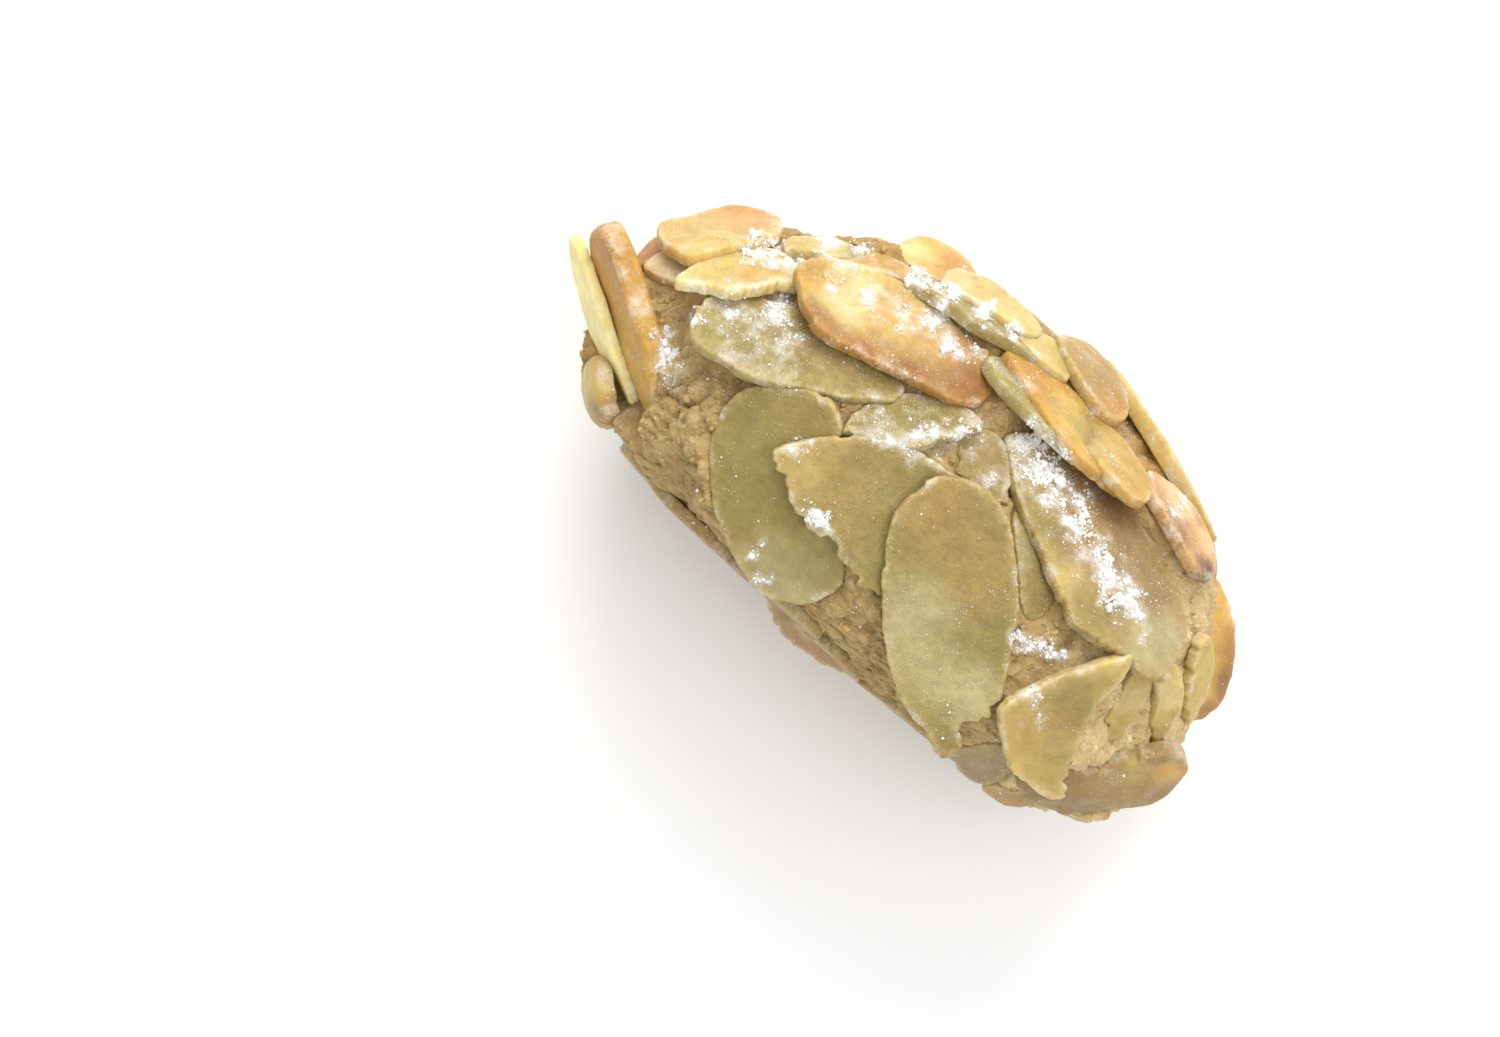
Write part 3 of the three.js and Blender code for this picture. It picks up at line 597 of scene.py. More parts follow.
# at: the flake's middle. size: length and width. turn: heading of the length. lean: tilt off +Z
# towards the heading in toward. rim: tone of its edge. bend, curl: how far its ends and its sides
# drop. waves: times the usual ones. thickness, edgeRound, taper: in place of the usual ones.
# outline: a shape of its own, drawn in its plane, where a third number marks a broken edge.
# marks: tone, along, across, reach, strength.
shownFlakes = [
    # the back tip
    # this flake's pale lemon tone and rim are partly a painted glow of light through it
    {"at": [-26.2, -8.7, 4.8], "size": [13.8, 6.5], "turn": -27, "lean": 79, "toward": -119,
     "tone": "lemon", "thickness": 0.9, "rim": "lemon", "marks": [("straw", 5, 0, 3, 0.5)]},
    {"at": [-24.2, -7.2, 8.2], "size": [16.4, 8.2], "turn": -31, "lean": 73, "toward": -121,
     "tone": "honey", "thickness": 2.1, "edgeRound": 0.7, "rim": "gold",
     "marks": [("amber", -5, 1, 6, 0.6), ("toasted", -7, 3, 4, 0.3)]},
    {"at": [-22.5, -13, 5.2], "size": [5.5, 5.5], "turn": -38, "lean": 66, "toward": -128, "tone": "straw",
     "thickness": 1.5, "edgeRound": 0.5, "rim": "goldEdge", "bend": 0.9, "curl": 0.5,
     "marks": [("tan", 1.5, 0, 2, 0.7)],
     "outline": [(-2.6, -3.2), (-3, -0.8), (-2, 1.5), (0.7, 2, 1), (2.6, 0.6, 1), (2, -2.4)]},
    {"at": [-23.8, 2.9, 6.2], "size": [12, 8.5], "turn": 49, "lean": 65, "toward": 130, "tone": "straw",
     "rim": "gold",
     "marks": [("rose", 2.6, 1.2, 4.4, 0.9), ("amber", 2.2, 3.6, 3.4, 0.8), ("gold", -3, -3.4, 3, 0.8),
         ("gold", -3.6, 1.6, 2.6, 0.6)],
     "outline": [(-4.4, 2), (-2, 2.4), (0.3, 3.2), (2.5, 3.9), (4.2, 2.6, 1), (4.9, 0.6), (3.8, -2.4, 1),
         (2.1, -3.5), (-1, -4.4), (-4.2, -5, 1), (-5.1, -3.5), (-5.5, -1)]},
    {"at": [-26.4, -1.7, 5], "size": [5.5, 4], "turn": 52, "lean": 66, "toward": 172, "tone": "amber"},
    {"at": [-24.6, -2.3, 8.8], "size": [5.5, 4.5], "turn": 42, "lean": 44, "toward": 152, "tone": "cream",
     "rim": "goldEdge",
     "outline": [(-2.3, 0.9), (-0.9, 1.9), (1.4, 1.4), (2.6, -0.2), (2, -1.4), (0, -1.2), (-1.7, -0.3)]},
    {"at": [-23.6, -5, -9], "size": [14, 9], "turn": 100, "lean": 120, "toward": 182, "tone": "straw"},
    # the back half of the shown flank and dome
    {"at": [-20.9, 1.2, 11.2], "size": [10.5, 7], "turn": 44, "lean": 58, "toward": 127, "tone": "straw",
     "rim": "lemon",
     "marks": [("cream", -4, -1, 3, 0.7), ("honey", 1.5, -1.8, 2.6, 0.9), ("straw", -2, -1, 2.4, 0.7),
         ("cream", 3.6, -2.6, 1.6, 0.6)],
     "outline": [(-5, -1.6), (-3, 0.6, 1), (-1.8, 1.5), (0, 2.6), (3.3, 2.6), (4.7, 0.2), (4.1, -2.7, 1),
         (2.2, -3.2, 1), (0.5, -3.6, 1), (-0.8, -4.3, 1), (-1.9, -3.6, 1), (-3.4, -2.7, 1)]},
    {"at": [-13.9, -0.6, 14.3], "size": [18.2, 7.5], "turn": 25, "lean": 30, "toward": 112, "tone": "olive",
     "marks": [("milky", -1, -3.4, 2.6, 0.5), ("sage", -4, -1, 4, 0.6), ("tan", 4, 1.5, 4, 0.6)],
     "outline": [(-7.9, 0.9, 1), (-7.7, -0.6, 1), (-7.3, -1.8), (-5.9, -2.7), (-4.2, -3.1, 1), (-2.9, -3.8),
         (-1, -3.9), (1.6, -3.6), (4.4, -3.2), (6.9, -2.6), (8.7, -2, 1), (9, -0.3), (6.6, 1.6), (3.2, 2.6),
         (-0.4, 3.2), (-3.9, 3.2), (-6.5, 2.4, 1)]},
    {"at": [-8.7, 5.5, 13.4], "size": [18, 7.8], "turn": 8, "lean": 37, "toward": 98, "tone": "straw",
     "rim": "goldEdge",
     "marks": [("rose", 0, 1.4, 4, 0.5), ("rose", 4.5, 1.5, 3.6, 0.6), ("cream", -4.4, -0.2, 3, 0.6),
         ("honey", -8, 0, 3, 0.8), ("toasted", -5.4, -3.8, 2.8, 0.8), ("toasted", -1.5, -4, 3.2, 0.9),
         ("toasted", 3, -3.2, 3.4, 0.9), ("toasted", 7, -0.5, 3.6, 0.95), ("toasted", 5.2, 3, 1.6, 0.7)],
     "outline": [(-9, 0), (-7.8, -1.8), (-6.2, -3.5), (-4.4, -4.2), (-1.5, -4), (1.3, -3.6), (4, -3.1),
         (6.3, -2.7), (8, -1.6), (8.5, 0), (8.1, 1.6, 1), (7.2, 2.5, 1), (6.9, 3.7, 1), (5.6, 3.3, 1),
         (4.2, 3.4, 1), (2, 4.1), (-0.1, 4.2), (-2.9, 3.9), (-5.3, 3.3), (-7.7, 2.1)]},
    {"at": [-16.8, 6.9, 7], "size": [7, 4], "turn": 32, "lean": 66, "toward": 122, "tone": "straw",
     "bend": 0.5},
    {"at": [-13.2, 8.6, 7.4], "size": [7, 4.4], "turn": 27, "lean": 66, "toward": 112, "tone": "honey",
     "bend": 0.5},
    {"at": [-9.8, 12.2, 3.2], "size": [6.4, 7], "turn": 32, "lean": 62, "toward": 112, "tone": "gold",
     "rim": "gold", "marks": [("amber", 1.6, -1, 3, 0.8), ("lemon", -2.4, 1, 2.4, 0.6)]},
    # the ridge along the front half
    {"at": [-5, 12.4, 6.8], "size": [10.5, 6], "turn": 10, "lean": 64, "toward": 100, "tone": "straw",
     "marks": [("cream", -3, 0, 2.5, 0.6)],
     "outline": [(-4, -1.6, 1), (-3.6, 1.2), (-1.3, 2.9), (0.8, 2.8), (3, 2, 1), (4.6, 0.2), (4, -2.2),
         (0.8, -2.3), (-2.2, -2.5, 1)]},
    {"at": [-5.3, 10.4, 9.7], "size": [12, 6], "turn": 10, "lean": 74, "toward": 100, "tone": "olive",
     "rim": "olive"},
    {"at": [2.9, 8.4, 12.3], "size": [10.5, 6], "turn": -4, "lean": 70, "toward": 86, "tone": "sage",
     "rim": "sage"},
    {"at": [0.8, 12, 8.4], "size": [5, 4], "turn": 2, "lean": 62, "toward": 92, "tone": "straw",
     "outline": [(-2.4, -0.6), (-1.5, 1.9), (0.4, 2.4), (2.3, 1.2), (2.6, -1.1), (1.2, -2), (-0.7, -2.1)]},
    {"at": [6.5, 9.2, 11.6], "size": [17.5, 7.5], "turn": -7, "lean": 60, "toward": 83, "tone": "honey",
     "bend": 0.7, "rim": "goldEdge",
     "marks": [("amber", -6, 0, 4, 0.6), ("straw", -1, 0, 3, 0.5), ("amber", 5, -1, 3.5, 0.7)],
     "outline": [(-8.2, 0.5), (-5.6, 2.8), (-2.3, 3.2), (0.2, 3.4), (3.8, 3.9), (6.2, 3.2), (6.9, 0.5),
         (4.8, -1.7), (1.5, -3.4), (-2.7, -2.9), (-5.8, -1.4)]},
    {"at": [10.1, 9.6, 10.9], "size": [10, 6], "turn": -3, "lean": 60, "toward": 87, "tone": "honey",
     "marks": [("straw", 0, 0, 3, 0.5)],
     "outline": [(-5.1, 0.4), (-4.3, 2), (-1.8, 2.7, 1), (1.1, 2.1), (3.3, 0.8, 1), (3.8, -1.8),
         (2.4, -3.4), (-0.8, -3.2), (-3.6, -2.2)]},
    {"at": [3.6, 13.2, 7.2], "size": [8, 6], "turn": -28, "lean": 64, "toward": 87, "tone": "ochre",
     "marks": [("amber", 4, 3, 3, 0.6)],
     "outline": [(-3, -1.2), (-4.2, 1.7), (-3.8, 3.3), (-0.7, 4.2), (3.5, 3.6, 1), (4.8, 1.4),
         (2.7, -0.8, 1), (-0.2, -1.9)]},
    {"at": [12.4, 13.2, 1], "size": [16.5, 9], "turn": -16, "lean": 84, "toward": 74, "tone": "straw",
     "thickness": 1.3, "rim": "honey"},
    {"at": [17.6, 9.6, 7.4], "size": [9, 5.5], "turn": -20, "lean": 62, "toward": 72, "tone": "rose",
     "marks": [("cream", -2.6, 0.6, 3, 0.7), ("cream", 2, 1, 2, 0.5), ("toasted", 0, -3.4, 2.6, 0.8),
         ("burnt", 4.2, -1.6, 2, 0.95)],
     "outline": [(-5, -1), (-2.8, 1.6), (-0.5, 2.7), (2.8, 1.9, 1), (4.5, -0.6), (3.6, -2.9, 1),
         (1.3, -3.3), (-1.3, -3.4), (-3.6, -3)]},
    # the front half of the shown flank
    # on the big flake below, the brown and umber marks on one side are painted shadow of the flake
    # overhanging it
    {"at": [13.7, 3.1, 13.5], "size": [23, 10.5], "turn": -12, "lean": 37, "toward": 76, "tone": "tan",
     "bend": 0.8, "curl": 0.9, "rim": "straw",
     "marks": [("olive", -8, -2.6, 4, 0.9), ("olive", -4, -3.8, 3.6, 0.95), ("straw", 0, -4.8, 3.2, 0.8),
         ("olive", 3.4, -4.6, 3.6, 0.95), ("milky", 7.5, -0.5, 3.6, 0.8), ("brown", -2, 4.6, 4, 0.5),
         ("umber", 3.6, 2, 5, 0.95)],
     "outline": [(-11.3, 0, 1), (-9.3, -1.6), (-7.4, -2.6), (-5, -3.3), (-2.2, -4.1), (0.6, -4.8),
         (3, -5.1, 1), (4.8, -4.4, 1), (6.4, -3.4, 1), (9.1, -3, 1), (10.6, -1.4, 1), (10.3, -0.3),
         (9.4, 1.9), (8.2, 4), (4, 5.6), (0.1, 6), (-4.5, 5.2), (-7.6, 4), (-10.4, 1.9)]},
    {"at": [-7.1, -9.7, 14.1], "size": [17.5, 11], "turn": -38, "lean": 20, "toward": -100, "tone": "olive",
     "marks": [("milky", 6.5, -1, 4.6, 0.7), ("sage", 4, 3, 4, 0.6), ("sage", -4, -1, 4, 0.3)],
     "outline": [(-7.7, -2.3), (-8.4, -0.7), (-8.2, 2.4), (-6.9, 5.2), (-4.4, 6), (-2, 4.9), (1, 4.4),
         (4.5, 4.6), (7.4, 3.7), (8.3, 1), (7.9, -0.8), (7.2, -2.4), (5.5, -3.5), (2.8, -4.4), (0, -4.9),
         (-2.8, -4.7), (-5.4, -4.1)]},
    {"at": [-2.1, -6, 16.3], "size": [16, 12], "turn": 11, "lean": 9, "toward": -20, "tone": "olive",
     "marks": [("straw", -6.4, 0, 4.2, 0.5), ("ochre", -2, 1.5, 4, 0.3), ("sage", 4, 0, 4, 0.3)],
     "outline": [(-7.6, -0.2, 1), (-6.9, 1.1), (-4.7, 3.2), (-2.2, 4.6), (0.2, 5.4), (2.9, 5.8), (6, 5),
         (7.4, 2.5), (7.6, -1.5), (6.8, -4.6), (4.8, -5, 1), (3.1, -5.2, 1), (1.5, -4.1, 1),
         (-0.7, -3.4, 1), (-2.3, -3.4, 1), (-3.6, -2.9, 1), (-4.9, -2.4, 1), (-6.8, -1, 1)]},
    {"at": [8.1, -7.7, 15.9], "size": [21.5, 10.7], "turn": -50, "lean": 11, "toward": -58, "taper": 0.05,
     "tone": "olive",
     "marks": [("milky", 1, -2.6, 4.5, 0.9), ("sage", 5, 0, 5, 0.9), ("ochre", -3, 2, 4, 0.5),
         ("ochre", -8, -1, 4, 0.6), ("milky", 6, 2, 3.5, 0.8), ("milky", 4, -1, 3, 0.5)],
     "outline": [(-10.3, -0.4), (-9.7, 2.1), (-7.6, 4.1), (-4.2, 5), (-0.5, 5.3), (3.7, 4.8), (6.6, 4.3, 1),
         (7.9, 3.4, 1), (8.5, 1.6, 1), (10.1, 1.3, 1), (10.8, 0, 1), (8.9, -1.4), (7.2, -2.8), (4.6, -3.9),
         (1.2, -4.7), (-2.2, -4.9), (-5.3, -4.7), (-7.5, -4.2), (-9, -3), (-10.1, -1.7)]},
    {"at": [-3.8, 1, 15.4], "size": [10.5, 6], "turn": 42, "lean": 36, "toward": 122, "tone": "olive",
     "outline": [(-4.8, -1, 1), (-3.9, 0.7), (-2.1, 1.6), (0.5, 2.2), (3.1, 1.9), (5.3, 0.7),
         (5.8, -0.5, 1), (4.9, -1.1, 1), (2.4, -1.9), (0.6, -2.7, 1), (-1.1, -2.5), (-3.6, -1.9, 1)]},
    {"at": [2.7, 2, 14.3], "size": [7, 5], "turn": 22, "lean": 16, "toward": 102, "tone": "olive",
     "marks": [("tan", 1, 1, 2, 0.6)],
     "outline": [(-2.4, 1.2, 1), (-0.6, 2.9, 1), (1.1, 2.6), (2.6, 0.7, 1), (2.9, -1.7, 1), (2.2, -2.5, 1),
         (0.9, -1.8, 1), (-1.1, -1.1, 1)]},
    {"at": [10.2, 0.2, 14.2], "size": [7, 3.5], "turn": -38, "lean": 20, "toward": 62, "tone": "olive",
     "outline": [(-3.9, -0.8, 1), (-2.8, 0.6), (0, 1.3), (3, 1), (4.6, 0, 1), (5, -1.3, 1), (3.3, -2),
         (0.4, -1.9, 1), (-2.2, -1.7)]},
    # the front tip
    {"at": [20.4, -7.9, 13.4], "size": [14, 10], "turn": -85, "lean": 33, "toward": -18, "tone": "straw",
     "bend": -0.2,
     "marks": [("olive", -2, -1, 4, 0.8), ("ochre", 2, -2, 4, 0.6), ("olive", 3, 2, 2.5, 0.5)],
     "outline": [(-7.4, 0.7), (-6, -0.8), (-2.5, -3.8), (0.8, -5.5), (2.3, -4.9), (3.4, -3.8), (4.9, -1.9),
         (5.3, -0.3), (5.6, 1.7), (5.4, 3.3, 1), (4.7, 3.9, 1), (3.5, 3.2, 1), (1.7, 2.3, 1), (-0.5, 1.5),
         (-2.6, 1.1), (-5.2, 1.4, 1)]},
    {"at": [26.1, -9.9, 7.6], "size": [14, 9], "turn": 47, "lean": 56, "toward": -38, "tone": "umber",
     "rim": "ochre", "bend": 0.9, "curl": 0.6, "thickness": 1.4, "waves": 3,
     "marks": [("umber", -3, 0, 4, 0.5), ("umber", 1, -3, 3, 0.6), ("ochre", -1, 2.6, 3, 0.8),
         ("gold", 5.2, 1.6, 2, 0.7), ("straw", 2.4, 2.6, 2, 0.7), ("ochre", 2, 0, 3, 0.5)],
     "outline": [(-6.2, 1, 1), (-5.6, 2.8), (-2.8, 3.8, 1), (0.2, 3.4, 1), (3.2, 4, 1), (5.8, 3.6),
         (6.9, 1.6), (6.6, -0.5, 1), (5.2, -2.3), (1.8, -3.4, 1), (-1.9, -3, 1), (-4.6, -1.4, 1)]},
    {"at": [25.3, 4.3, -6], "size": [13.5, 9], "turn": -43, "lean": 42, "toward": 42, "tone": "gold",
     "rim": "amber",
     "marks": [("honey", 1, 2, 4, 0.8), ("toasted", 1.5, 4.2, 2.4, 0.7), ("brown", 4.6, 3.4, 2.6, 0.9),
         ("brown", 6.2, 0.6, 2, 0.8), ("amber", 2, -1.6, 2, 0.6)],
     "outline": [(-6.2, 0.8), (-5, 2.6), (-2.7, 3.9), (0.6, 4.3), (3.7, 3.7, 1), (5.6, 2.1), (6.3, -0.8),
         (4.2, -2.6, 1), (-0.2, -3), (-4, -1.9)]},
    {"at": [23, -3.6, 10.5], "size": [7, 3.2], "turn": 97, "lean": 38, "toward": -10, "tone": "straw",
     "marks": [("cream", 1, 0, 2, 0.8)],
     "outline": [(-3.4, -0.4, 1), (-1.6, 0.9, 1), (1, 1.4, 1), (3.2, 0.9), (3.4, -0.5, 1), (0.8, -1.3),
         (-2, -1.2, 1)]},
    {"at": [25.3, -1.5, 9], "size": [7.5, 3], "turn": 124, "lean": 45, "toward": 0, "tone": "straw",
     "marks": [("cream", 1, 0, 2, 0.5), ("ochre", -2, 0, 2, 0.5)],
     "outline": [(-3.7, 0.2, 1), (-1.8, 1.2, 1), (0.6, 1.2), (2.8, 1.5, 1), (3.7, 0.3, 1), (2.2, -1),
         (-1.4, -1.4, 1)]},
    {"at": [26.1, 1.4, 6.6], "size": [8, 3], "turn": 124, "lean": 56, "toward": 12, "tone": "straw",
     "outline": [(-4, -0.2, 1), (-2, 1.2, 1), (0.8, 1.5, 1), (3.4, 0.9, 1), (3.8, -0.4), (1.2, -1.3),
         (-2.4, -1.2, 1)]},
    {"at": [25.8, -5, -9], "size": [15, 9.5], "turn": 70, "lean": 118, "toward": -5, "tone": "ochre"},
    # the edge of the baked base
    {"at": [1.9, -15.9, 3.6], "size": [9, 7], "turn": 3, "lean": 58, "toward": -87, "tone": "tan",
     "bend": 0.6, "rim": "cream", "marks": [("cream", 0, 2, 2, 0.7), ("rose", 0, -1, 3, 0.3)],
     "outline": [(-4.4, 1), (-2.6, 2.5), (0.4, 2.9), (3, 1.8), (5.2, -0.6), (4.2, -1.2, 1), (1.4, -1.6, 1),
         (-1.6, -1.6, 1), (-3.6, -0.8, 1)]},
    # the dark umber tone of the flake below partly paints the shade along the edge of the base
    {"at": [18, -13.9, 7.6], "size": [7, 5], "turn": 32, "lean": 64, "toward": -72, "tone": "umber",
     "marks": [("tan", 0, 1, 3, 0.6)],
     "outline": [(-3.2, -0.7, 1), (-0.9, 2), (1.7, 3.4, 1), (2.8, 2.6), (2.4, -0.3, 1), (-0.3, -3.2),
         (-2.4, -3, 1)]},
    {"at": [21.5, -14.4, 4.2], "size": [4.5, 3.5], "turn": 42, "lean": 66, "toward": -68, "tone": "ochre"},
]

restFlake = {"at": [0.8, -3.4], "size": [21, 10.5], "turn": 10, "tone": "ochre", "thickness": 1.2}

# The flank and base turned from view, in rows round the section. turn: degrees from the dome.
# reach: how far out to the tips. headings: spread of their turns. tilt: the most that one tips.
# lift, extraLift: how far off the smooth log, and up to how much more.
hiddenRows = [
    {"turn": -14, "count": 5, "reach": 0.8, "headings": 70, "tilt": 3, "lift": 0.2, "extraLift": 0.15},
    {"turn": -34, "count": 5, "reach": 0.76, "headings": 36, "tilt": 4, "lift": 0.3, "extraLift": 0.3},
    {"turn": -54, "count": 5, "reach": 0.84, "headings": 110, "tilt": 7, "lift": 0.1, "extraLift": 0.5},
    {"turn": -78, "count": 5, "reach": 0.84, "headings": 150, "tilt": 7, "lift": 0.1, "extraLift": 0.5},
    {"turn": -108, "count": 5, "reach": 0.84, "headings": 150, "tilt": 6, "lift": 0.1, "extraLift": 0.4},
    {"turn": -138, "count": 4, "reach": 0.62, "headings": 40, "tilt": 4, "lift": 0.2, "extraLift": 0.3},
    {"turn": -180, "count": 4, "reach": 0.5, "headings": 150, "tilt": 1, "lift": 0.2, "extraLift": 0.1},
]

hiddenFlake = {
    "long": (14, 20), "wide": (8.5, 11), "stagger": (0.35, 0.75), "wander": 10,
    "brokenShare": 0.3, "tableGap": 0.12,
    "restGap": 9,  # no other flake lies face down nearer than this to the one it rests on
    "hug": 0.94,  # how closely a flake bends round the log, 1 follows it
    "tipShare": 0.35,  # how much smaller they are at the tips
    "tones": ["straw", "honey", "ochre", "olive", "honey", "tan", "sage", "ochre"],
    "baseTones": ["ochre", "tan", "honey", "toasted", "tan"], "baseFrom": -130,  # rows baked browner
}


def draw(item, use):
    wave = math.sin(12.9898 * item + 78.233 * use) * 43758.5453
    return wave - math.floor(wave)


def turned(vector, axis, degrees):
    angle = math.radians(degrees)
    return (vector * math.cos(angle) + np.cross(axis, vector) * math.sin(angle)
            + axis * (axis @ vector) * (1 - math.cos(angle)))


def withAxes(flake, outward, length):
    return {**flake, "at": np.array(flake["at"], float), "outward": outward, "length": length,
            "width": np.cross(outward, length)}


def flakeAxes(outward, turn):
    heading = np.array([math.cos(math.radians(turn)), math.sin(math.radians(turn)), 0])
    steep = 0.17  # under this much upward face, the heading is laid onto the plane
    if abs(outward[2]) > steep:
        heading[2] = -(outward @ heading) / outward[2]
    else:
        heading = heading - outward * (outward @ heading)
    return unit(heading)


def flatHeading(facing, degrees):  # a way within the plane, turned from the log's length
    along = unit(np.array([1.0, 0, 0]) - facing * facing[0])
    return turned(along, facing, -degrees)


def placedFlakes():
    placed = []
    for index, flake in enumerate(shownFlakes):
        lean, toward = math.radians(flake["lean"]), math.radians(flake["toward"])
        level = math.sin(lean)
        outward = np.array([level * math.cos(toward), level * math.sin(toward), math.cos(lean)])
        placed.append({**withAxes(flake, outward, flakeAxes(outward, flake["turn"])), "seed": index})
    return placed


def turnedAwayFlakes():
    down = np.array([0.0, 0.0, -1.0])
    height = restFlake["thickness"] / 2 - logMiddle[2]
    rest = {**restFlake, "at": [*restFlake["at"], height], "bend": 0, "seed": 0, "flat": True}
    laid = [withAxes(rest, down, flakeAxes(down, restFlake["turn"]))]
    for rowIndex, row in enumerate(hiddenRows):
        for place in range(row["count"]):
            item = 10 * rowIndex + place
            share = (place + hiddenFlake["stagger"][rowIndex % 2]) / row["count"]
            t = np.array(row["reach"] * (2 * share - 1))
            turn = row["turn"] + hiddenFlake["wander"] * (draw(item, 1) - 0.5)
            normal = logNormal(t, turn)
            point = logPoint(t, turn)
            point += normal * (row["lift"] + row["extraLift"] * draw(item, 2) + riseAt(point[None])[0])
            outward = turned(normal, flatHeading(normal, 360 * draw(item, 3)), row["tilt"] * draw(item, 4))
            shorter = 1 - hiddenFlake["tipShare"] * smooth(0.4, 0.75, abs(t))
            size = [shorter * (low + (high - low) * draw(item, use)) for (low, high), use in
                    ((hiddenFlake["long"], 6), (hiddenFlake["wide"], 7))]
            broken = draw(item, 8) < hiddenFlake["brokenShare"]
            tones = hiddenFlake["baseTones" if row["turn"] < hiddenFlake["baseFrom"] else "tones"]
            swing = row["headings"] * (draw(item, 5) - 0.5)
            flake = {"at": point, "size": size, "seed": item,
                     "under": underLog(point[None], outward)[0],
                     "cuts": [(360 * draw(item, 9), 0.32 * size[0])] if broken else [],
                     "tone": tones[int(draw(item, 10) * len(tones))],
                     "marks": [(name, *[side * (draw(item, use + k) - 0.5) for k, side in enumerate(size)],
                                reach, draw(item, use + 2) * 0.8)
                               for name, reach, use in (("amber", 3.5, 11), ("milky", 4.5, 14))]}
            away = np.hypot(*(point[:2] - np.array(restFlake["at"])))
            if outward[2] >= -0.8 or away > hiddenFlake["restGap"]:
                laid.append(withAxes(flake, outward, flatHeading(outward, swing)))
    return laid


def roundCurve(corners):  # a closed curve through the corners, with each one's roughness
    corners = np.array([(*corner, 0.0)[:3] for corner in corners])
    share = np.linspace(0, 1, 24, endpoint=False)[None, :, None]
    a, b, c, d = (np.roll(corners, shift, 0)[:, None, :] for shift in (1, 0, -1, -2))
    curve = 0.5 * (2 * b + (c - a) * share + (2 * a - 5 * b + 4 * c - d) * share ** 2
                   + (3 * b - a - 3 * c + d) * share ** 3)
    straight = b + (c - b) * share
    rough = np.clip(np.minimum(b[..., 2:], c[..., 2:]) * np.ones_like(share), 0, 1)
    curve[..., :2] = curve[..., :2] * (1 - 0.75 * rough) + straight[..., :2] * 0.75 * rough
    curve[..., 2:] = rough
    return curve.reshape(-1, 3)


def flakeRim(flake, step):  # points round the outline, their outward way, and how broken it is
    angle = np.linspace(0, 2 * math.pi, 480, endpoint=False)
    seed, size = flake["seed"], flake["size"]
    if "outline" in flake:
        curve = roundCurve(flake["outline"])
        rim, rough = curve[:, :2], curve[:, 2]
    else:
        taper = flake.get("taper", flakeShape["taper"])
        waver = 1 + flakeShape["waver"] * (np.sin(3 * angle + seed) + np.sin(5 * angle + 2 * seed))
        rim = np.stack([size[0] / 2 * np.cos(angle) * waver,
                        size[1] / 2 * np.sin(angle) * (1 - taper * np.cos(angle)) * waver], axis=1)
        rough = np.zeros(len(angle))
        for heading, distance in flake.get("cuts", []):  # broken straight across
            reach = rim @ np.array([math.cos(math.radians(heading)), math.sin(math.radians(heading))])
            over = reach > distance
            rim[over] *= (distance / reach[over])[:, None]
            rough[over] = 1
    if np.sum(rim[:, 0] * np.roll(rim[:, 1], -1) - rim[:, 1] * np.roll(rim[:, 0], -1)) < 0:
        rim, rough = rim[::-1], rough[::-1]  # always anticlockwise
    # even spacing round the rim
    gaps = np.linalg.norm(np.roll(rim, -1, 0) - rim, axis=1)
    length = np.concatenate([[0], np.cumsum(gaps)])
    count = int(np.clip(length[-1] / step, 40, 320))
    wanted = np.linspace(0, length[-1], count, endpoint=False)
    closed = np.vstack([rim, rim[:1]])
    rim = np.stack([np.interp(wanted, length, closed[:, k]) for k in (0, 1)], axis=1)
    rough = np.interp(wanted, length, np.append(rough, rough[0]))
    along = np.roll(rim, -1, 0) - np.roll(rim, 1, 0)
    out = unit(np.stack([along[:, 1], -along[:, 0]], axis=1))
    spot = np.column_stack([rim, np.full(count, seed * 3.7)])
    uneven = layeredNoise(spot, flakeShape["teeth"]) * rough * flakeShape["jag"]
    uneven += layeredNoise(spot, flakeShape["wobble"])
    uneven -= flakeShape["nick"] * smooth(0.45, 0.85, softNoise(spot, 1.2, 9))
    return rim + out * uneven[:, None], out


def flakeDrop(flake, along, across):  # how far a bent flake falls away from its own plane
    if "under" in flake:
        surface = flake["at"] + along[:, None] * flake["length"] + across[:, None] * flake["width"]
        return hiddenFlake["hug"] * np.clip(underLog(surface, flake["outward"]) - flake["under"], -0.6, 5)
    length, width = flake["size"]
    bend, curl = flake.get("bend", flakeShape["bend"]), flake.get("curl", 0)
    return bend * (2 * along / length) ** 2 + curl * (2 * across / width) ** 2


def insideOutline(spots, rim):
    first, second = rim[None], np.roll(rim, -1, 0)[None]
    x, y = spots[:, 0, None], spots[:, 1, None]
    spans = (first[..., 1] > y) != (second[..., 1] > y)
    rise = np.where(second[..., 1] == first[..., 1], 1e-9, second[..., 1] - first[..., 1])
    crossing = x < first[..., 0] + (y - first[..., 1]) / rise * (second[..., 0] - first[..., 0])
    return np.sum(spans & crossing, axis=1) % 2 == 1


def flakeFace(inner, step):  # a flat mesh that fills the outline, and where its corners went
    low, high = inner.min(axis=0), inner.max(axis=0)
    columns = np.arange(low[0], high[0], step)
    rows = np.arange(low[1], high[1], step * 0.866)
    grid = [(x + step / 2 * (row % 2), y) for row, y in enumerate(rows) for x in columns]
    grid = np.array(grid).reshape(-1, 2)
    grid = grid[insideOutline(grid, inner)]
    gap = np.min(np.linalg.norm(grid[:, None] - inner[None], axis=2), axis=1)
    grid = grid[gap > 0.55 * step]
    corners = [Vector(spot) for spot in np.vstack([inner, grid])]
    count = len(inner)
    edges = [(k, (k + 1) % count) for k in range(count)]
    spots, _, triangles, given, _, _ = delaunay_2d_cdt(corners, edges, [], 1, 1e-5)
    placed = {}
    for index, origins in enumerate(given):
        for origin in origins:
            placed[origin] = index
    return np.array([spot[:] for spot in spots]), [tuple(face) for face in triangles], placed


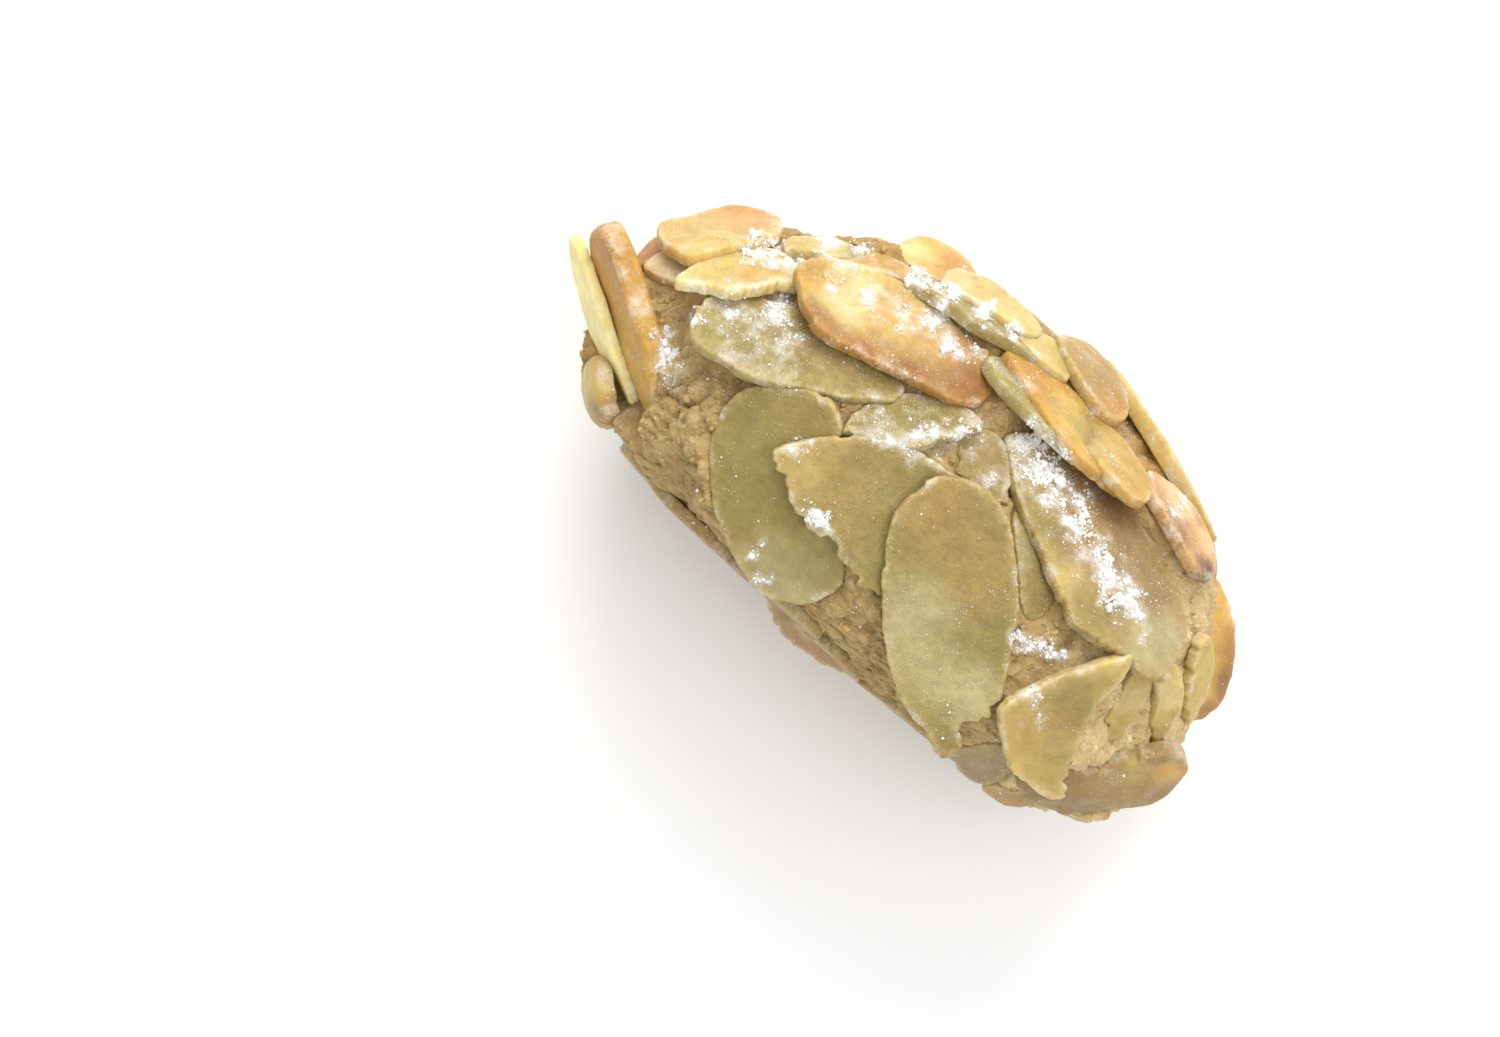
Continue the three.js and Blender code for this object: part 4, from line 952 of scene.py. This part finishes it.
def makeFlake(flake, step):
    rim, out = flakeRim(flake, step)
    count = len(rim)
    half = flake.get("thickness", flakeShape["thickness"]) / 2
    edgeRound = flake.get("edgeRound", flakeShape["edgeRound"])
    spots, triangles, placed = flakeFace(rim - out * edgeRound, step * flakeShape["faceStep"])
    # the top face, the rings of the rounded edge, then the bottom face
    flat, height = [spots], [np.full(len(spots), half)]
    for side, degrees in ((1, 50), (1, 15), (-1, 15), (-1, 50)):
        turn = math.radians(degrees)
        level = side * (half - edgeRound + edgeRound * math.sin(turn))
        grain = softNoise(np.column_stack([rim, np.full(count, level * 1.3 + flake["seed"])]), 0.42, 10)
        flat.append(rim + out * (flakeShape["grain"] * grain - edgeRound * (1 - math.cos(turn)))[:, None])
        height.append(np.full(count, level))
    flat.append(spots)
    height.append(np.full(len(spots), -half))
    flat, height = np.vstack(flat), np.concatenate(height)
    under = len(spots) + 4 * count
    loops = [[placed[k] for k in range(count)]]
    loops += [[len(spots) + ring * count + k for k in range(count)] for ring in range(4)]
    loops.append([under + placed[k] for k in range(count)])
    faces = list(triangles) + [tuple(under + index for index in face[::-1]) for face in triangles]
    for upper, lower in zip(loops, loops[1:]):
        for k in range(count):
            after = (k + 1) % count
            faces.append((upper[k], lower[k], lower[after], upper[after]))
    along, across = flat[:, 0], flat[:, 1]
    surface = flake["at"] + along[:, None] * flake["length"] + across[:, None] * flake["width"]
    wave = np.zeros(len(flat))
    if not flake.get("flat"):
        seeded = surface + flake["seed"] * 5.3
        wave = layeredNoise(seeded, flakeShape["warp"])
        wave += flake.get("waves", 1) * layeredNoise(seeded, flakeShape["waves"])
        wave += np.clip(height / half, 0, 1) * layeredNoise(seeded, flakeShape["dimples"])  # on top only
    points = surface + (height - flakeDrop(flake, along, across) + wave)[:, None] * flake["outward"]
    lowest = points[:, 2].min() + logMiddle[2]
    points[:, 2] += max(0, (0 if flake.get("flat") else hiddenFlake["tableGap"]) - lowest)

    toRim = np.full(len(flat), 9.0)
    for start in range(0, count, 2):
        toRim = np.minimum(toRim, np.hypot(*(flat - rim[start]).T))
    tone = np.tile(linear(flakeTones[flake["tone"]]), (len(flat), 1))
    blur = flat + 0.6 * noiseWander(surface, 1.6, (22, 23))
    for name, x, y, size, strength in flake.get("marks", []):
        away = np.hypot(blur[:, 0] - x, blur[:, 1] - y) / size
        share = (strength * (1 - smooth(0.3, 1.1, away)))[:, None]
        tone = tone * (1 - share) + linear(flakeTones[name]) * share
    shade = flakeShape["mottle"] * softNoise(surface + 31, 3.5, 21)
    shade += flakeShape["fineMottle"] * softNoise(surface, 1.2, 24)
    tone = tone * (1 + shade[:, None] * [0.9, 1.0, 1.2])
    # most rims take the pale edge tone, partly a painted glow of light through the thin edge
    rimTone = np.tile(linear(flakeTones[flake.get("rim", "paleEdgePaintedGlow")]), (len(flat), 1))
    flake["polar"] = polarTable(rim)
    return points, faces, {"tone": tone, "edge": 1 - smooth(0.0, 0.9, toRim), "rim": rimTone}


def polarTable(rim):  # how far the rim is from the flake's middle, by angle
    angle = np.arctan2(rim[:, 1], rim[:, 0])
    order = np.argsort(angle)
    return angle[order], np.hypot(rim[:, 0], rim[:, 1])[order]


def joinParts(parts):
    points, faces, attributes, start = [], [], {}, 0
    for partPoints, partFaces, partAttributes in parts:
        points.append(partPoints)
        faces += [tuple(index + start for index in face) for face in partFaces]
        for key, values in partAttributes.items():
            attributes.setdefault(key, []).append(values)
        start += len(partPoints)
    return np.vstack(points), faces, {key: np.concatenate(values) for key, values in attributes.items()}


def normalsOf(points, faces):
    total = np.zeros_like(points)
    corners = np.array([face[:3] for face in faces])
    a, b, c = (points[corners[:, k]] for k in range(3))
    facing = np.cross(b - a, c - a)
    for k in range(3):
        np.add.at(total, corners[:, k], facing)
    return total / np.maximum(np.linalg.norm(total, axis=1, keepdims=True), 1e-12)


bedding = {
    "reach": 1.15, "height": 9,  # how near a flake counts: times its outline, and in mm
    "fill": -0.45,  # lower paste rises to this height from the flake's middle plane
    "fade": (1.6, 4.0),  # less so where it is this far below, and then not at all
    "press": -0.1, "lip": 0.3,  # higher paste sinks to press, and at the rim to press and lip together
}


def bedFlakes(points, flakes):  # fits the paste to the flakes pressed into it
    inside, drops = [], []
    for flake in flakes:
        away = points - flake["at"]
        along, across = away @ flake["length"], away @ flake["width"]
        angle, radius = flake["polar"]
        reach = np.interp(np.arctan2(across, along), angle, radius, period=2 * math.pi)
        share = np.hypot(along, across) / reach
        near = (share < bedding["reach"]) & (np.abs(away @ flake["outward"]) < bedding["height"])
        drop = np.zeros(len(points))
        drop[near] = flakeDrop(flake, along[near], across[near])
        inside.append(np.where(near, share, 9))
        drops.append(drop)
    for flake, share, drop in zip(flakes, inside, drops):  # rises to meet the flake from inside
        height = (points - flake["at"]) @ flake["outward"] + drop
        gap = bedding["fill"] - height
        push = np.where((share < 1) & (gap > 0), gap * (1 - smooth(0.62, 0.97, share)), 0)
        push = push * (1 - smooth(*bedding["fade"], gap))
        points = points + push[:, None] * flake["outward"]
    for flake, share, drop in zip(flakes, inside, drops):  # is pressed clear of its outer face
        height = (points - flake["at"]) @ flake["outward"] + drop
        over = height - bedding["press"] - bedding["lip"] * smooth(0.8, 1.1, share)
        high = (share < 1.12) & (over > 0) & (height < 4)
        push = np.where(high, -over * (1 - smooth(1.0, 1.12, share)), 0)
        points = points + push[:, None] * flake["outward"]
    return points


def makePaste(flakes):
    log = pasteLog
    rows, columns = log["stepsAlong"], log["stepsRound"]
    row, column = np.meshgrid(np.arange(1, rows), np.arange(columns), indexing="ij")
    t = np.cos(math.pi * row / rows).ravel()
    turn = (360 * column / columns).ravel()
    t, turn = np.append(t, [1.0, -1.0]), np.append(turn, [0.0, 0.0])
    smoothPoints = logPoint(t, turn)
    away = unit(smoothPoints * [0, 1, 1] + np.outer(t, [log["halfDepth"], 0, 0]) - [0, log["shoulderY"], 0])
    base = smoothPoints + away * lumps(smoothPoints)[:, None]
    warped = base + 0.5 * noiseWander(base, 1.1, (31, 33, 34))
    relief = layeredNoise(base, log["crags"])
    for size, height, power, seed in log["crumbs"]:
        relief += height * (pebbleNoise(warped, size, seed) ** power - 0.6)
    bedded = bedFlakes(base + away * (relief + riseAt(base))[:, None], flakes)
    bedded[:, 2] = np.maximum(bedded[:, 2], log["tableGap"] - logMiddle[2])
    # painted light: paler paste at the front tip and on raised lumps; painted shade: darker paste in the
    # hollows
    atFront = smooth(15, 22, base[:, 0] + 3 * softNoise(base, 3.0, 45))
    covers = {"paintedLitTip": atFront * smooth(-6, 4, base[:, 2]), "paintedCrestLight": smooth(0.0, 0.5, relief),
              "paintedCreviceShade": smooth(-0.05, -0.6, relief),
              "toast": smooth(0.2, 0.9, bedded[:, 1] / 15 + 0.3 * softNoise(base, 4, 44))}
    tone = np.tile(linear(log["tone"]), (len(t), 1))
    for name, (color, strength) in log["overTones"].items():
        share = strength * covers[name][:, None]
        tone = tone * (1 - share) + linear(color) * share
    frontTip, backTip, last = len(t) - 2, len(t) - 1, (rows - 2) * columns
    faces = [(first + c, first + columns + c, first + columns + (c + 1) % columns, first + (c + 1) % columns)
             for first in range(0, last, columns) for c in range(columns)]
    faces += [(frontTip, c, (c + 1) % columns) for c in range(columns)]
    faces += [(backTip, last + (c + 1) % columns, last + c) for c in range(columns)]
    return bedded, faces, {"tone": tone}


looseLump = {
    "bumps": [(0.9, 0.45, 91), (0.4, 0.21, 92)],  # size and height, both in radii, and seed
    "longest": 1.15,  # a lump's stretch goes from its own squash to this
    "tableGap": 0.02,
}


def iceBall(subdivisions):
    ball = bmesh.new()
    bmesh.ops.create_icosphere(ball, subdivisions=subdivisions, radius=1)
    points = np.array([v.co[:] for v in ball.verts])
    faces = np.array([[v.index for v in f.verts] for f in ball.faces])
    ball.free()
    return points, faces


def scatterLumps(places, radii, subdivisions, rng, squash):
    ball, faces = iceBall(subdivisions)
    count = len(places)
    stretch = rng.uniform(squash, looseLump["longest"], (count, 1, 3))
    shape = ball[None] * stretch * radii[:, None, None]
    turns = rng.normal(size=(count, 3, 3))
    turns, _ = np.linalg.qr(turns)
    shape = np.einsum("nij,nkj->nki", turns, shape)
    own = (ball[None] + rng.uniform(0, 90, (count, 1, 3))).reshape(-1, 3)
    bumps = 1 + layeredNoise(own, looseLump["bumps"])
    shape = (shape * bumps.reshape(count, -1, 1)).reshape(-1, 3) + np.repeat(places, len(ball), axis=0)
    shape[:, 2] = np.maximum(shape[:, 2], looseLump["tableGap"] - logMiddle[2])
    starts = np.arange(count)[:, None, None] * len(ball)
    # a turn that mirrors a lump would face it inwards
    mirrored = np.linalg.det(turns) < 0
    allFaces = np.where(mirrored[:, None, None], faces[None, :, ::-1], faces[None]) + starts
    return shape, allFaces.reshape(-1, 3).tolist(), {}


def castRays(tree, starts, direction):
    hits = []
    way = Vector(direction)
    for start in starts:
        place, normal, index, _ = tree.ray_cast(Vector(start), way)
        if place is not None:
            hits.append((*place, *normal, index))
    return np.array(hits).reshape(-1, 7)


fallRays = {  # find places for loose bits, from above and from the sides
    "count": 60000, "overX": (-33, 31), "overY": (-19, 16), "fromZ": 40.0,
    "sideCount": 9000, "sideSpread": 34, "sideFrom": 60,
    "sideWays": ((0, -1, 0), (0, 1, 0), (1, 0, 0), (-1, 0, 0), (0.0, -0.7, 0.7), (0.0, 0.7, 0.7)),
}

looseSugar = {
    # how many, smallest and largest radius, how strongly they gather, ball detail, how deep they sink
    "sugarClumps": [(100, 0.2, 0.42, 3.0, 3, 0.5), (1700, 0.08, 0.2, 1.7, 2, 0.35)],
    "sugarGrains": [(9000, 0.03, 0.075, 1.4, 1, 0.2)],
    "sideShare": 0.35,  # share of the places found from the sides that are used
    "patches": [(0.7, 0.25, 81), (1.7, 0.25, 82)],  # where more of them lie: size, strength, seed
    "heap": 0.4,  # how high they pile up where sugar is thick
    "squash": 0.6,
}

pasteCrumbs = {
    "count": 900, "small": 0.08, "large": 0.36, "sunk": 0.25, "squash": 0.5,
    "darkest": 0.9, "palest": 1.35,  # times the tone of the paste under each crumb
}


def shellHits(tree, rng):
    rays = fallRays
    count = rays["count"]
    x, y = rng.uniform(*rays["overX"], count), rng.uniform(*rays["overY"], count)
    down = castRays(tree, np.column_stack([x, y, np.full(count, rays["fromZ"])]), (0, 0, -1))
    sides = []
    for direction in rays["sideWays"]:
        way = unit(np.array(direction, float))
        across = unit(np.cross(way, [0.13, 0.31, 0.9]))
        other = np.cross(way, across)
        spread = rng.uniform(-rays["sideSpread"], rays["sideSpread"], (rays["sideCount"], 2))
        starts = -way * rays["sideFrom"] + spread[:, :1] * across + spread[:, 1:] * other
        sides.append(castRays(tree, starts, way))
    return down, np.vstack(sides)


def makeSugar(down, sides, material):
    rng = np.random.default_rng(11)
    hits = np.vstack([down, sides[rng.random(len(sides)) < looseSugar["sideShare"]]])
    points, normals = hits[:, :3], hits[:, 3:6]
    amount = sugarAmount(points, normals)
    weight = np.clip(amount + layeredNoise(points, looseSugar["patches"]) - 0.1, 0, None) ** 2
    for name in ("sugarClumps", "sugarGrains"):
        parts = []
        for count, small, large, power, detail, sunk in looseSugar[name]:
            chance = weight ** power
            chosen = rng.choice(len(points), count, replace=False, p=chance / chance.sum())
            scale = np.clip(amount[chosen] / 2.4, 0.3, 1)
            radii = small + (large - small) * rng.random(count) ** 1.6 * scale
            heap = rng.random(count) * np.clip(amount[chosen] - 1.3, 0, 1) * looseSugar["heap"]
            places = points[chosen] + normals[chosen] * (heap + radii * (1 - sunk) * 0.5)[:, None]
            parts.append(scatterLumps(places, radii, detail, rng, looseSugar["squash"]))
        grainPoints, grainFaces, _ = joinParts(parts)
        meshPiece(name, grainPoints, grainFaces, material, {})


def makeCrumbs(down, sides, firstPasteFace, pasteTones, material):
    rng = np.random.default_rng(5)
    hits = np.vstack([down, sides])
    hits = hits[hits[:, 6] >= firstPasteFace]
    count, small, large = (pasteCrumbs[key] for key in ("count", "small", "large"))
    chosen = rng.choice(len(hits), count, replace=False)
    radii = small + (large - small) * rng.random(count) ** 2.2
    places = hits[chosen, :3] - hits[chosen, 3:6] * (radii * pasteCrumbs["sunk"])[:, None]
    points, faces, _ = scatterLumps(places, radii, 2, rng, pasteCrumbs["squash"])
    tone = pasteTones[hits[chosen, 6].astype(int) - firstPasteFace]
    tone = tone * rng.uniform(pasteCrumbs["darkest"], pasteCrumbs["palest"], (count, 1))
    tone = np.repeat(tone, len(points) // count, axis=0)
    sugar = sugarAmount(points, normalsOf(points, faces))
    meshPiece("pasteCrumbs", points, faces, material, {"tone": tone, "sugar": sugar})


makeCamera()
makeLights()
makeFloor()
print("camera, lights and table are set")

flakeMaterial = makeFlakeMaterial()
pasteMaterial = makePasteMaterial()
sugarMaterial = makeSugarMaterial()
print("materials are mixed")

shown = placedFlakes()
turnedAway = turnedAwayFlakes()
shownPoints, shownFaces, shownValues = joinParts([makeFlake(flake, flakeShape["rimStep"]) for flake in shown])
awayPoints, awayFaces, awayValues = joinParts(
    [makeFlake(flake, flakeShape["hiddenRimStep"]) for flake in turnedAway])
print(len(shown), "flakes on the shown flank,", len(turnedAway), "turned from view")

pastePoints, pasteFaces, pasteValues = makePaste(shown + turnedAway)
for points, faces, values in ((shownPoints, shownFaces, shownValues), (awayPoints, awayFaces, awayValues),
                              (pastePoints, pasteFaces, pasteValues)):
    normals = normalsOf(points, faces)
    values["sugar"] = sugarAmount(points, normals) + sugarOnRims(points, normals, values.get("edge", 0))
paste = meshPiece("pasteCore", pastePoints, pasteFaces, pasteMaterial, pasteValues)
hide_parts("almond_cookie")
meshPiece("shownFlakes", shownPoints, shownFaces, flakeMaterial, shownValues)
meshPiece("hiddenFlakes", awayPoints, awayFaces, flakeMaterial, awayValues)

skin = [(shownPoints, shownFaces, {}), (awayPoints, awayFaces, {}), (pastePoints, pasteFaces, {})]
skinPoints, skinFaces, _ = joinParts(skin)
tree = BVHTree.FromPolygons(skinPoints.tolist(), skinFaces)
down, sides = shellHits(tree, np.random.default_rng(3))
print(len(down), "and", len(sides), "places found for crumbs and sugar")
pasteTones = pasteValues["tone"][[face[0] for face in pasteFaces]]
makeCrumbs(down, sides, len(shownFaces) + len(awayFaces), pasteTones, pasteMaterial)
makeSugar(down, sides, sugarMaterial)
